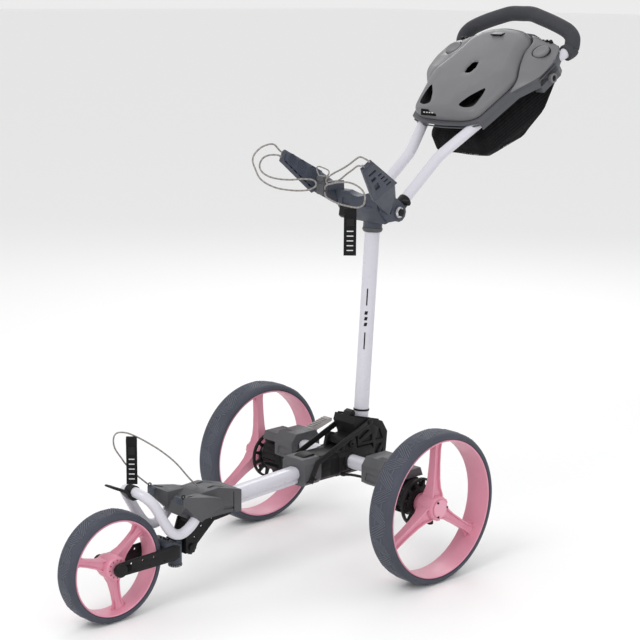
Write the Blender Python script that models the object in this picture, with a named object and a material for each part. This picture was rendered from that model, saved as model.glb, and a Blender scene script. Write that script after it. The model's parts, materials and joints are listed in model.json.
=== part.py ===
"""Three-wheeled golf push trolley: folding mast, folding handle, folding fork.

Metres, +Z up, floor at z = 0. The trolley's front (its small wheel) points to -Y
and its right side is +X. Distances along the trolley are given from the rear
axle; at() moves them into the part's own frame, whose origin lies on the floor
under the middle of the whole trolley.
"""
import math

import bpy
import bmesh
from mathutils import Matrix, Vector

# ---------------------------------------------------------------- sizes
AXLE_Y = 0.070                   # rear axle, behind the middle of the trolley
GAP = 0.0003                     # between pieces that touch

REAR_R = 0.1475                  # rear wheels
REAR_WIDTH = 0.056
TRACK_X = 0.248
REAR_BEAD_R = 0.1345
FRONT_R = 0.101                  # front wheel
FRONT_WIDTH = 0.045
FRONT_BEAD_R = 0.0885
FRONT_HUB = (-0.570, 0.101)      # y, z
FORK_PIVOT = (-0.400, 0.100)
TRACKING_Y = -0.424
MAST_PIVOT = (-0.004, 0.2245)
MAST_BOTTOM = Vector((0.0, 0.053, 0.264))
MAST_TOP = Vector((0.0, 0.077, 0.638))
MAST_R = 0.015
BAG_LOOP_R = 0.0095
HANDLE_PIVOT = (0.0905, 0.6815)
HANDLE_START = Vector((0.0, 0.098, 0.680))
HANDLE_TILT = math.radians(39.0)
HANDLE_TUBE_R = 0.011
HANDLE_TUBE_X = 0.0405
HANDLE_BEND_U = 0.161
HANDLE_SPREAD = 0.329            # sideways per length of handle past the bend
GRIP_R = 0.0158
AXLE_R = 0.006
AXLE_TUBE_Z = 0.192
CORD_R = 0.0017
PIN_RADIUS_FROM_AXLE = 0.036
STAR_NOTCH_R = 0.0312
STAR_TIP_R = 0.046
STAR_POINTS = 12

U_AXIS = Vector((0.0, math.cos(HANDLE_TILT), math.sin(HANDLE_TILT)))
N_AXIS = Vector((0.0, -math.sin(HANDLE_TILT), math.cos(HANDLE_TILT)))
MAST_AXIS = (MAST_TOP - MAST_BOTTOM).normalized()

COLOURS = {
    "white_tube": ((0.84, 0.83, 0.90), 0.28, 0.0),
    "grey_casting": ((0.115, 0.118, 0.128), 0.5, 0.0),
    "slate_casting": ((0.085, 0.100, 0.135), 0.5, 0.0),
    "black_plastic": ((0.022, 0.022, 0.025), 0.5, 0.0),
    "console_plastic": ((0.145, 0.148, 0.158), 0.42, 0.0),
    "tyre": ((0.095, 0.105, 0.125), 0.75, 0.0),
    "pink_plastic": ((0.78, 0.26, 0.34), 0.35, 0.0),
    "grip_foam": ((0.085, 0.090, 0.098), 0.9, 0.0),
    "pad_rubber": ((0.070, 0.085, 0.120), 0.7, 0.0),
    "strap": ((0.012, 0.012, 0.013), 0.6, 0.0),
    "net": ((0.010, 0.010, 0.012), 0.85, 0.0),
    "cord": ((0.25, 0.23, 0.22), 0.8, 0.0),
    "tab_webbing": ((0.012, 0.012, 0.014), 0.8, 0.0),
    "pedal_plastic": ((0.40, 0.37, 0.36), 0.5, 0.0),
    "steel": ((0.55, 0.55, 0.56), 0.3, 1.0),
}


# ---------------------------------------------------------------- helpers
def at(x, y, z):
    """A point given from the rear axle, in the part's frame."""
    return Vector((x, y + AXLE_Y, z))


def on_handle(x, u, n=0.0):
    """A point on the sloping handle plane: sideways, along it, and above it."""
    return at(*(HANDLE_START + Vector((x, 0.0, 0.0)) + U_AXIS * u + N_AXIS * n))


def mirrored(points):
    """Right half of an outline, continued with its mirror image."""
    return points + [(-a, b) for a, b in reversed(points) if a > 1e-6]


def clear_scene():
    for obj in list(bpy.data.objects):
        bpy.data.objects.remove(obj, do_unlink=True)


def finish_mesh(bm):
    bmesh.ops.remove_doubles(bm, verts=bm.verts, dist=1e-6)
    bmesh.ops.recalc_face_normals(bm, faces=bm.faces)
    if bm.calc_volume(signed=True) < 0:
        bmesh.ops.reverse_faces(bm, faces=bm.faces)
    mesh = bpy.data.meshes.new("shape")
    bm.to_mesh(mesh)
    bm.free()
    return mesh


def loft(rings, closed=False):
    """Skin rings of points; the two end rings are capped unless it closes on itself."""
    bm = bmesh.new()
    rows = [[bm.verts.new(p) for p in ring] for ring in rings]
    count = len(rows[0])
    last = len(rows) if closed else len(rows) - 1
    for i in range(last):
        a = rows[i]
        b = rows[(i + 1) % len(rows)]
        for j in range(count):
            k = (j + 1) % count
            bm.faces.new((a[j], a[k], b[k], b[j]))
    if not closed:
        bm.faces.new(rows[0])
        bm.faces.new(rows[-1])
    return finish_mesh(bm)


def hull(points):
    bm = bmesh.new()
    for p in points:
        bm.verts.new(p)
    result = bmesh.ops.convex_hull(bm, input=bm.verts)
    unused = [v for v in result["geom_interior"] if isinstance(v, bmesh.types.BMVert)]
    bmesh.ops.delete(bm, geom=unused, context="VERTS")
    return finish_mesh(bm)


def boolean(base, others, operation):
    """One mesh from Boolean operations on copies of the given meshes."""
    target = bpy.data.objects.new("target", base)
    bpy.context.collection.objects.link(target)
    helpers = []
    for other in others:
        helper = bpy.data.objects.new("helper", other)
        bpy.context.collection.objects.link(helper)
        helpers.append(helper)
        modifier = target.modifiers.new("cut", "BOOLEAN")
        modifier.operation = operation
        modifier.object = helper
    bpy.context.view_layer.update()
    graph = bpy.context.evaluated_depsgraph_get()
    mesh = bpy.data.meshes.new_from_object(target.evaluated_get(graph))
    for obj in [target] + helpers:
        bpy.data.objects.remove(obj, do_unlink=True)
    return mesh


def joined(base, *others):
    return boolean(base, others, "UNION")


def cut(base, *others):
    return boolean(base, others, "DIFFERENCE")


def side_prism(outline, x0, x1):
    """An outline of (y, z) points, pulled out along X."""
    return loft([[at(x, y, z) for y, z in outline] for x in (x0, x1)])


def long_prism(outline, y0, z0, y1, z1):
    """An outline of (x, height) points, pulled out along the trolley."""
    return loft([[at(x, y, z + h) for x, h in outline] for y, z in ((y0, z0), (y1, z1))])


def box(x0, x1, y0, y1, z0, z1):
    return side_prism([(y0, z0), (y1, z0), (y1, z1), (y0, z1)], x0, x1)


def plane_prism(outline, n0, n1):
    """An outline of (x, u) points on the handle plane, pulled out along its normal."""
    return loft([[on_handle(x, u, n) for x, u in outline] for n in (n0, n1)])


def circle(radius, sides=16, turn=0.0):
    step = 2 * math.pi / sides
    return [(radius * math.cos(turn + i * step), radius * math.sin(turn + i * step))
            for i in range(sides)]


def cross_rod(y, z, stations, sides=12):
    """A turned solid along X through (y, z), from (x, radius) stations."""
    return loft([[at(x, y + a, z + b) for a, b in circle(r, sides)] for x, r in stations])


def upright_rod(x, y, stations, sides=16):
    """A turned solid along Z through (x, y), from (z, radius) stations."""
    return loft([[at(x + a, y + b, z) for a, b in circle(r, sides)] for z, r in stations])


def wheel_ring(x, y, z, profile, side=1, segments=32):
    """A closed (x offset, radius) profile turned round a wheel's axis."""
    rings = []
    for i in range(segments):
        angle = 2 * math.pi * i / segments
        rings.append([at(x + side * dx, y + r * math.cos(angle), z + r * math.sin(angle))
                      for dx, r in profile])
    return loft(rings, closed=True)


def smooth_path(points, per_span):
    """A Catmull-Rom curve read at even steps between the given points."""
    padded = [2 * points[0] - points[1]] + points + [2 * points[-1] - points[-2]]
    path = []
    for a, b, c, d in zip(padded, padded[1:], padded[2:], padded[3:]):
        for i in range(per_span):
            t = i / per_span
            path.append(0.5 * (2 * b + (c - a) * t + (2 * a - 5 * b + 4 * c - d) * t ** 2
                               + (3 * b - a - 3 * c + d) * t ** 3))
    path.append(points[-1])
    return path


def path_frames(path):
    """A steady pair of cross directions at each point of a path."""
    tangents = []
    for i in range(len(path)):
        ahead = path[min(i + 1, len(path) - 1)]
        behind = path[max(i - 1, 0)]
        tangents.append((ahead - behind).normalized())
    side = tangents[0].orthogonal().normalized()
    frames = []
    for tangent in tangents:
        side = (side - tangent * side.dot(tangent)).normalized()
        frames.append((side, tangent.cross(side)))
    return frames


def path_rings(path, radius, sides):
    return [[p + a * ca + b * sb for ca, sb in circle(radius, sides)]
            for p, (a, b) in zip(path, path_frames(path))]


def pipe(path, radius, wall, sides=10):
    outer = path_rings(path, radius, sides)
    inner = path_rings(path, radius - wall, sides)
    return loft(outer + inner[::-1], closed=True)


def solid_rod(path, radius, sides=10):
    return loft(path_rings(path, radius, sides))


def mirror_path(half):
    """A path from the right end to the middle, carried on to the left end."""
    return half + [Vector((-p.x, p.y, p.z)) for p in reversed(half[:-1])]


# ---------------------------------------------------------------- pieces and bodies
MATERIALS = {}


def material(slot):
    if slot not in MATERIALS:
        colour, roughness, metallic = COLOURS[slot]
        mat = bpy.data.materials.new(slot)
        mat.use_nodes = True
        shader = mat.node_tree.nodes["Principled BSDF"]
        shader.inputs["Base Color"].default_value = (*colour, 1.0)
        shader.inputs["Roughness"].default_value = roughness
        shader.inputs["Metallic"].default_value = metallic
        MATERIALS[slot] = mat
    return MATERIALS[slot]


def joint_empty(name, position, parent=None):
    empty = bpy.data.objects.new(name, None)
    bpy.context.collection.objects.link(empty)
    if parent:
        empty.parent = parent
        empty.location = position - parent.matrix_world.translation
    else:
        empty.location = position
    bpy.context.view_layer.update()
    return empty


def add_object(name, data, slot, body=None):
    obj = bpy.data.objects.new(name, data)
    bpy.context.collection.objects.link(obj)
    data.materials.clear()
    data.materials.append(material(slot))
    if body:
        obj.parent = body
        obj.matrix_parent_inverse = body.matrix_world.inverted()
    return obj


def piece(name, mesh, slot, body=None, smooth=40):
    obj = add_object(name, mesh, slot, body)
    mesh.shade_smooth()
    mesh.set_sharp_from_angle(angle=math.radians(smooth))
    return obj


def cord(name, points, radius, slot, body=None, per_span=2):
    """A round cord along a smooth curve through its route's points."""
    curve = bpy.data.curves.new(name, "CURVE")
    curve.dimensions = "3D"
    curve.bevel_depth = radius
    curve.bevel_resolution = 2
    curve.use_fill_caps = True
    path = smooth_path(points, per_span)
    spline = curve.splines.new("POLY")
    spline.points.add(len(path) - 1)
    for point, place in zip(spline.points, path):
        point.co = (*place, 1.0)
    return add_object(name, curve, slot, body)


# ---------------------------------------------------------------- wheels
def tyre(x, y, z, radius, width, bead, side):
    half = width / 2
    profile = [(-half + 0.002, bead), (-half, radius - 0.007), (-half * 0.6, radius),
               (half * 0.6, radius), (half, radius - 0.007), (half - 0.002, bead)]
    return wheel_ring(x, y, z, profile, side)


def spoke(x, y, z, angle, stations, side):
    """A tapering bar from the hub to the rim, from (radius, low x, high x, half width)."""
    out = Vector((0.0, math.cos(angle), math.sin(angle)))
    across = Vector((0.0, -math.sin(angle), math.cos(angle)))
    rings = []
    for r, x0, x1, half in stations:
        centre = at(x, y, z) + out * r
        rings.append([centre + Vector((side * dx, 0, 0)) + across * w
                      for dx, w in ((x0, -half), (x1, -half), (x1, half), (x0, half))])
    return loft(rings)


def rim(x, y, z, bead, half, hub, bore, wall, spoke_x, first_spoke, side):
    outer = bead - GAP
    ring = wheel_ring(x, y, z, [(-half, outer), (half, outer), (half, outer - 0.4 * wall),
                                (0.2 * half, outer - wall), (-half, outer - 0.4 * wall)], side)
    hub_back, hub_front, hub_r = hub
    middle = wheel_ring(x, y, z, [(hub_back, bore), (hub_back, 0.84 * hub_r),
                                  (hub_back + 0.012, hub_r), (hub_front, hub_r),
                                  (hub_front, bore)], side, 16)
    low, high = spoke_x
    stations = [(0.75 * hub_r, low - 0.006, high + 0.006, 0.6 * hub_r),
                (0.45 * outer, low, high, 0.36 * hub_r),
                (outer - 0.5 * wall, low, high, 0.34 * hub_r)]
    spokes = [spoke(x, y, z, first_spoke + i * 2 * math.pi / 3, stations, side) for i in range(3)]
    return joined(ring, middle, *spokes)


def brake_star(x0, x1):
    """A flat disc with twelve points; the brake pin drops between two of them."""
    outline = []
    pitch = 2 * math.pi / STAR_POINTS
    for i in range(STAR_POINTS):
        middle = (i + 0.5) * pitch
        for turn, r in ((-0.23, STAR_NOTCH_R), (-0.08, STAR_TIP_R), (0.08, STAR_TIP_R),
                        (0.23, STAR_NOTCH_R)):
            angle = middle + turn * pitch
            outline.append((r * math.cos(angle), REAR_R + r * math.sin(angle)))
    bore = AXLE_R + 0.0006
    thickness = x1 - x0
    return cut(side_prism(outline, x0, x1),
               cross_rod(0, REAR_R, [(x0 - thickness, bore), (x1 + thickness, bore)]))


def rear_wheel(name, side, first_spoke):
    x = side * TRACK_X
    body = joint_empty(f"{name}_axle_line", at(x, 0, REAR_R))
    bore = AXLE_R + 0.0006
    piece(f"{name}_tyre", tyre(x, 0, REAR_R, REAR_R, REAR_WIDTH, REAR_BEAD_R, side), "tyre", body)
    piece(f"{name}_rim", rim(x, 0, REAR_R, REAR_BEAD_R, 0.0265, (-0.0302, 0.0195, 0.024), bore,
                             0.0055, (-0.007, 0.007), first_spoke, side), "pink_plastic", body)
    piece(f"{name}_hub_cap", cross_rod(0, REAR_R, [(x + side * 0.0198, 0.022),
                                                   (x + side * 0.0235, 0.0205)], 16),
          "pink_plastic", body)
    piece(f"{name}_brake_star", brake_star(x - side * 0.0365, x - side * 0.0305),
          "black_plastic", body)


def front_wheel(parent):
    y, z = FRONT_HUB
    body = joint_empty("front_wheel_axle_line", at(0, y, z), parent)
    piece("front_tyre", tyre(0, y, z, FRONT_R, FRONT_WIDTH, FRONT_BEAD_R, 1), "tyre", body)
    piece("front_rim", rim(0, y, z, FRONT_BEAD_R, 0.0212, (-0.0215, 0.0215, 0.022), 0.0056,
                           0.0045, (-0.006, 0.006), math.radians(41), 1), "pink_plastic", body)


# ---------------------------------------------------------------- lower frame
def tube_outline(grow=0.0):
    """The main tube's two-lobed section: a wide upper lobe over a small lower one."""
    half = [(0.0, 0.0168), (0.009, 0.0160), (0.0148, 0.0115), (0.0168, 0.0045),
            (0.0155, -0.0020), (0.0118, -0.0058), (0.0126, -0.0088), (0.0112, -0.0138),
            (0.0060, -0.0166), (0.0, -0.0168)]
    scale_x = 1 + grow / 0.0168
    scale_z = 1 + grow / 0.0168
    return mirrored([(x * scale_x, h * scale_z) for x, h in half])


def tube_line(y):
    """Height of the main tube's middle line; it climbs slightly to the rear."""
    return 0.1688 + (y + 0.287) * 0.060


def main_tube():
    y0, y1 = -0.2985, -0.104
    outer = [[at(x, y, tube_line(y) + h) for x, h in tube_outline()] for y in (y0, y1)]
    inner = [[at(x, y, tube_line(y) + h) for x, h in tube_outline(-0.0022)] for y in (y0, y1)]
    return loft(outer + inner[::-1], closed=True)


def tube_pocket(y0, y1):
    return long_prism(tube_outline(0.0004), y0, tube_line(y0), y1, tube_line(y1))


def bag_loop_path():
    half = [at(0.040, -0.402, 0.170), at(0.040, -0.414, 0.155), at(0.040, -0.430, 0.144),
            at(0.040, -0.446, 0.141), at(0.040, -0.463, 0.149), at(0.040, -0.480, 0.172),
            at(0.040, -0.4965, 0.2000), at(0.0365, -0.5065, 0.2150), at(0.027, -0.5145, 0.2240),
            at(0.013, -0.5185, 0.2280), at(0.0, -0.5195, 0.2290)]
    return smooth_path(mirror_path(half), 1)


def front_casting():
    """The grey casting that joins the main tube, the bag rest and the fork bracket."""
    body = side_prism([(-0.303, 0.1490), (-0.290, 0.1490), (-0.290, 0.191), (-0.345, 0.206),
                       (-0.385, 0.2035), (-0.419, 0.184), (-0.425, 0.166), (-0.402, 0.1525),
                       (-0.3045, 0.1525)], -0.031, 0.031)
    inner = [(-0.352, 0.165), (-0.352, 0.190), (-0.385, 0.202), (-0.424, 0.202),
             (-0.424, 0.170), (-0.396, 0.1535)]
    outer = [(-0.355, 0.178), (-0.355, 0.192), (-0.385, 0.201), (-0.444, 0.2125),
             (-0.441, 0.194), (-0.404, 0.158)]
    wings = [loft([[at(side * 0.020, y, z) for y, z in inner],
                   [at(side * 0.053, y, z) for y, z in outer]]) for side in (1, -1)]
    leg = [at(0.040, -0.402, 0.1704), at(0.040, -0.414, 0.155), at(0.040, -0.430, 0.144),
           at(0.040, -0.446, 0.141)]
    legs = [solid_rod([Vector((s * p.x, p.y, p.z)) for p in leg], 0.0101, 12) for s in (1, -1)]
    solid = joined(body, *wings)
    return cut(solid, tube_pocket(-0.2988, -0.280), *legs)


def fork_bracket():
    """Two black side plates and a roof under the casting, holding the fork's fold bolt."""
    y, z = FORK_PIVOT
    plate = [(y - 0.013, z - 0.004), (y - 0.006, z - 0.0125), (y + 0.007, z - 0.011),
             (y + 0.014, z + 0.004), (-0.346, 0.1390), (-0.3055, 0.1430), (-0.3055, 0.1520),
             (-0.404, 0.1520), (-0.413, 0.128)]
    plates = [side_prism(plate, s * 0.0144, s * 0.0186) for s in (1, -1)]
    roof = box(-0.0150, 0.0150, -0.402, -0.3080, 0.1462, 0.1520)
    return cut(joined(roof, *plates), cross_rod(y, z, [(-0.03, 0.0044), (0.03, 0.0044)]))


def front_sleeve():
    section = mirrored([(0.0, 0.0265), (0.024, 0.0265), (0.032, 0.0175), (0.032, -0.017),
                        (0.024, -0.0265), (0.0, -0.0265)])
    shape = long_prism(section, -0.130, 0.1863, -0.0855, 0.1870)
    return cut(shape, tube_pocket(-0.170, -0.1036))


def main_block():
    front = mirrored([(0.0, 0.025), (0.024, 0.025), (0.032, 0.017), (0.032, -0.017),
                      (0.024, -0.025), (0.0, -0.025)])
    rear = mirrored([(0.0, 0.025), (0.028, 0.025), (0.0378, 0.016), (0.0378, -0.012),
                     (0.026, -0.025), (0.0, -0.025)])
    shape = long_prism(front, -0.0852, 0.1875, -0.036, 0.1875)
    shape = joined(shape, long_prism(rear, -0.040, 0.1875, 0.054, 0.1875))
    y, z = MAST_PIVOT
    ear = [(y - 0.020, 0.205), (y - 0.013, z + 0.0085), (y, z + 0.013), (y + 0.013, z + 0.0085),
           (y + 0.018, 0.205)]
    shape = joined(shape, *[side_prism(ear, s * 0.0236, s * 0.0308) for s in (1, -1)])
    tunnel = loft([axle_tube_ring(x, 0.0004) for x in (-0.05, 0.05)])
    return cut(shape, cross_rod(y, z, [(-0.04, 0.0049), (0.04, 0.0049)]), tunnel)


def axle_tube_ring(x, grow=0.0):
    """The cross tube's section: an oval with flattened sides."""
    return [at(x, -0.011 + (0.0125 + grow) * math.copysign(abs(c) ** 0.75, c),
               AXLE_TUBE_Z + (0.0135 + grow) * math.copysign(abs(s) ** 0.75, s))
            for c, s in circle(1.0, 16)]


def axle_tube():
    outer = [axle_tube_ring(x) for x in (-0.100, 0.100)]
    inner = [axle_tube_ring(x, -0.0024) for x in (0.100, -0.100)]
    return loft(outer + inner, closed=True)


def wheel_bracket(side):
    """Grey housing on the end of the axle tube, with a shelf over the brake housing."""
    body = side_prism([(-0.044, 0.171), (-0.044, 0.204), (-0.031, 0.220), (0.022, 0.221),
                       (0.034, 0.208), (0.034, 0.172), (0.020, 0.163), (-0.030, 0.163)],
                      side * 0.1003, side * 0.152)
    shelf = side_prism([(-0.036, 0.1925), (-0.030, 0.209), (0.020, 0.2095), (0.027, 0.1925)],
                       side * 0.150, side * 0.198)
    return joined(body, shelf)


def brake_housing(side):
    barrel = cross_rod(0.0, 0.156, [(side * 0.1523, 0.030), (side * 0.160, 0.036),
                                    (side * 0.200, 0.036), (side * 0.208, 0.031)], 20)
    bore = cross_rod(0.0, REAR_R + PIN_RADIUS_FROM_AXLE,
                     [(side * 0.187, 0.0032), (side * 0.215, 0.0032)])
    return cut(barrel, bore)


def bag_rest_clip():
    """A black hooked strip that grips the front of the bag rest from below."""
    outline = [(-0.5130, 0.2140), (-0.5250, 0.2140), (-0.5340, 0.2230), (-0.5400, 0.2310),
               (-0.5500, 0.2362), (-0.5610, 0.2415), (-0.5710, 0.2465), (-0.5690, 0.2500),
               (-0.5590, 0.2460), (-0.5480, 0.2405), (-0.5370, 0.2355), (-0.5270, 0.2270),
               (-0.5130, 0.2230)]
    rest = solid_rod(bag_loop_path(), BAG_LOOP_R + GAP, 8)
    return cut(side_prism(outline, -0.010, 0.010), rest)


def lower_frame():
    piece("main_tube", main_tube(), "white_tube")
    piece("front_casting", front_casting(), "grey_casting")
    piece("bag_rest_loop", pipe(bag_loop_path(), BAG_LOOP_R, 0.002, 8), "white_tube")
    piece("bag_rest_clip", bag_rest_clip(), "black_plastic")
    piece("fork_bracket", fork_bracket(), "black_plastic")
    piece("front_sleeve", front_sleeve(), "black_plastic")
    piece("main_block", main_block(), "black_plastic")
    piece("axle_tube", axle_tube(), "white_tube")
    for name, side in (("right", 1), ("left", -1)):
        piece(f"wheel_axle_{name}", cross_rod(0, REAR_R, [(side * 0.2083, AXLE_R),
                                                          (side * 0.2660, AXLE_R)]), "steel")
        piece(f"wheel_bracket_{name}", wheel_bracket(side), "grey_casting")
        piece(f"brake_housing_{name}", brake_housing(side), "black_plastic")
        piece(f"mast_strap_{name}", mast_strap(side), "strap")
    y, z = FORK_PIVOT
    piece("fork_bolt", cross_rod(y, z, [(-0.0225, 0.0072), (-0.0190, 0.0072), (-0.0190, 0.0040),
                                        (0.0190, 0.0040), (0.0190, 0.0072), (0.0225, 0.0072)]),
          "steel")
    y, z = MAST_PIVOT
    piece("mast_bolt", cross_rod(y, z, [(-0.0318, 0.0045), (0.0318, 0.0045)]), "steel")
    cord("brake_cable", [at(0.0383, -0.035, 0.1700), at(0.050, -0.036, 0.1715),
                         at(0.065, -0.034, 0.1740), at(0.080, -0.026, 0.1725),
                         at(0.091, -0.0195, 0.1700), at(0.0990, -0.0180, 0.1690)], 0.0028, "strap",
         None, 2)


# ---------------------------------------------------------------- fork and front wheel
def fork_knuckle():
    """The black block on the fold bolt, with an arm over the steering post and its pin."""
    y, z = FORK_PIVOT
    block = side_prism([(y - 0.0105, z - 0.012), (y + 0.008, z - 0.0115), (y + 0.0125, z),
                        (y + 0.008, z + 0.0115), (y - 0.002, z + 0.0215),
                        (y - 0.0105, z + 0.0215)], -0.0138, 0.0138)
    roof = box(-0.0110, 0.0110, TRACKING_Y - 0.012, y - 0.004, z + 0.0180, z + 0.0215)
    pin = upright_rod(0, TRACKING_Y, [(0.0705, 0.0040), (z + 0.019, 0.0040)], 12)
    solid = joined(block, roof, pin)
    return cut(solid, cross_rod(y, z, [(-0.02, 0.0044), (0.02, 0.0044)]))


def yoke():
    """The slate block behind the front wheel, turning on the steering pin."""
    block = side_prism([(-0.4660, 0.0945), (-0.4660, 0.1180), (-0.460, 0.1245),
                        (-0.440, 0.1215), (-0.4375, 0.1168), (-0.430, 0.1160),
                        (-0.430, 0.0900)], -0.0270, 0.0270)
    post = upright_rod(0, TRACKING_Y, [(0.0702, 0.0125), (0.1172, 0.0125)])
    bore = upright_rod(0, TRACKING_Y, [(0.06, 0.0044), (0.13, 0.0044)], 12)
    return cut(joined(block, post), bore)


def fork_arm(side):
    y, z = FRONT_HUB
    nose = [(y - 0.0130 * math.cos(a), z + 0.0125 * math.sin(a))
            for a in [math.radians(d) for d in (90, 54, 18, -18, -54, -90)]]
    outline = nose + [(-0.4480, 0.0885), (-0.4360, 0.0920), (-0.4360, 0.1140), (-0.4480, 0.1175)]
    plate = side_prism(outline, side * 0.0273, side * 0.0303)
    holes = [cross_rod(hy, 0.1075, [(side * 0.025, 0.0022), (side * 0.033, 0.0022)], 8)
             for hy in (-0.545, -0.520, -0.495)]
    axle_hole = cross_rod(y, z, [(side * 0.025, 0.0055), (side * 0.033, 0.0055)])
    return cut(plate, axle_hole, *holes)


def fork():
    fold = joint_empty("fork_fold_line", at(0, *FORK_PIVOT))
    steer = joint_empty("tracking_line", at(0, TRACKING_Y, 0.090), fold)
    piece("fork_knuckle", fork_knuckle(), "black_plastic", fold)
    piece("yoke", yoke(), "slate_casting", steer)
    for name, side in (("right", 1), ("left", -1)):
        piece(f"fork_arm_{name}", fork_arm(side), "black_plastic", steer)
    y, z = FRONT_HUB
    piece("front_axle", cross_rod(y, z, [(-0.0370, 0.0095), (-0.0306, 0.0110), (-0.0306, 0.0050),
                                         (0.0306, 0.0050), (0.0306, 0.0110), (0.0370, 0.0095)]),
          "black_plastic", steer)
    piece("tracking_dial", upright_rod(0, TRACKING_Y, [(0.0655, 0.0120), (0.0668, 0.0132),
                                                       (0.0699, 0.0132)], 24),
          "black_plastic", steer)
    front_wheel(steer)


# ---------------------------------------------------------------- mast
def mast_point(z):
    """The mast's middle line at a height."""
    return MAST_BOTTOM + MAST_AXIS * ((z - MAST_BOTTOM.z) / MAST_AXIS.z)


def mast_rings(stations, sides=12):
    rings = []
    side = Vector((1.0, 0.0, 0.0))
    across = MAST_AXIS.cross(side)
    for z, r in stations:
        centre = at(*mast_point(z))
        rings.append([centre + side * a + across * b
                      for a, b in circle(r, sides, math.pi / sides)])
    return rings


def strap_pin_hole():
    y, z = STRAP_TOP
    return cross_rod(y, z, [(-0.045, 0.0034), (0.045, 0.0034)])


def mast_foot():
    """The bracket under the mast: it turns on the front lug and hooks behind the block."""
    y, z = MAST_PIVOT
    outline = [(0.0160, 0.2145), (0.0160, 0.236), (0.004, 0.262), (0.009, 0.2755),
               (0.085, 0.2550), (0.100, 0.231), (0.095, 0.178), (0.087, 0.163),
               (0.064, 0.163), (0.0600, 0.2145)]
    body = side_prism(outline, -0.0295, 0.0295)
    lug = side_prism([(y - 0.0105, z - 0.004), (y - 0.0052, z - 0.0098), (y + 0.024, z - 0.0098),
                      (y + 0.026, z + 0.012), (y + 0.0060, z + 0.0105), (y - 0.0080, z + 0.0085)],
                     -0.0232, 0.0232)
    pocket = loft(mast_rings([(0.2296, MAST_R + GAP), (0.300, MAST_R + GAP)]))
    recess = side_prism([(0.088, 0.176), (0.094, 0.226), (0.120, 0.226), (0.120, 0.176)],
                        -0.020, 0.020)
    return cut(joined(body, lug), cross_rod(y, z, [(-0.04, 0.0049), (0.04, 0.0049)]),
               pocket, recess, strap_pin_hole())


STRAP_TOP = (0.045, 0.261)
STRAP_BEND = (-0.097, 0.204)
STRAP_END = (-0.116, 0.166)


def mast_strap(side):
    """A flat strap from the mast foot's pin down to the side of the front sleeve."""
    half = 0.006
    width_top = Vector((-(STRAP_TOP[1] - STRAP_BEND[1]), STRAP_TOP[0] - STRAP_BEND[0])).normalized()
    width_end = Vector((-(STRAP_BEND[1] - STRAP_END[1]), STRAP_BEND[0] - STRAP_END[0])).normalized()
    width_bend = ((width_top + width_end) * 0.5).normalized() * 1.06
    top = Vector(STRAP_TOP) + (Vector(STRAP_TOP) - Vector(STRAP_BEND)).normalized() * 0.007
    upper = [top + width_top * half, Vector(STRAP_BEND) + width_bend * half,
             Vector(STRAP_END) + width_end * half]
    lower = [top - width_top * half, Vector(STRAP_BEND) - width_bend * half,
             Vector(STRAP_END) - width_end * half]
    outline = [(p.x, p.y) for p in upper + lower[::-1]]
    ribbon = side_prism(outline, side * 0.0325, side * 0.0350)
    y, z = STRAP_TOP
    return cut(ribbon, cross_rod(y, z, [(side * 0.030, 0.0034), (side * 0.040, 0.0034)], 10))


ARM_LOW = Vector((0.079, -0.0070, 0.717))        # bag arm, inner face corners
ARM_HIGH = Vector((0.100, 0.0340, 0.752))
ARM_TIP_HIGH = Vector((0.118, -0.0510, 0.799))
ARM_TIP_LOW = Vector((0.120, -0.0680, 0.776))
ARM_OUT = (ARM_HIGH - ARM_LOW).cross(ARM_TIP_HIGH - ARM_LOW).normalized()
if ARM_OUT.x < 0:
    ARM_OUT = -ARM_OUT
ARM_TIP_LOW -= ARM_OUT * ARM_OUT.dot(ARM_TIP_LOW - ARM_LOW)     # all four in one plane
ARM_THICK = 0.009
ARM_END = ((ARM_TIP_HIGH + ARM_TIP_LOW) - (ARM_HIGH + ARM_LOW)).normalized()


def flip(point, side):
    return Vector((side * point.x, point.y, point.z))


def arm_slab(side, corners, start, end):
    rings = [[at(*flip(p + ARM_OUT * d, side)) for p in corners] for d in (start, end)]
    return loft(rings)


def pad_corners(scale):
    """The arm's inner face, drawn in towards its middle."""
    corners = (ARM_LOW, ARM_HIGH, ARM_TIP_HIGH, ARM_TIP_LOW)
    middle = sum(corners, Vector()) / len(corners)
    return [middle + (p - middle) * scale for p in corners]


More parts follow.
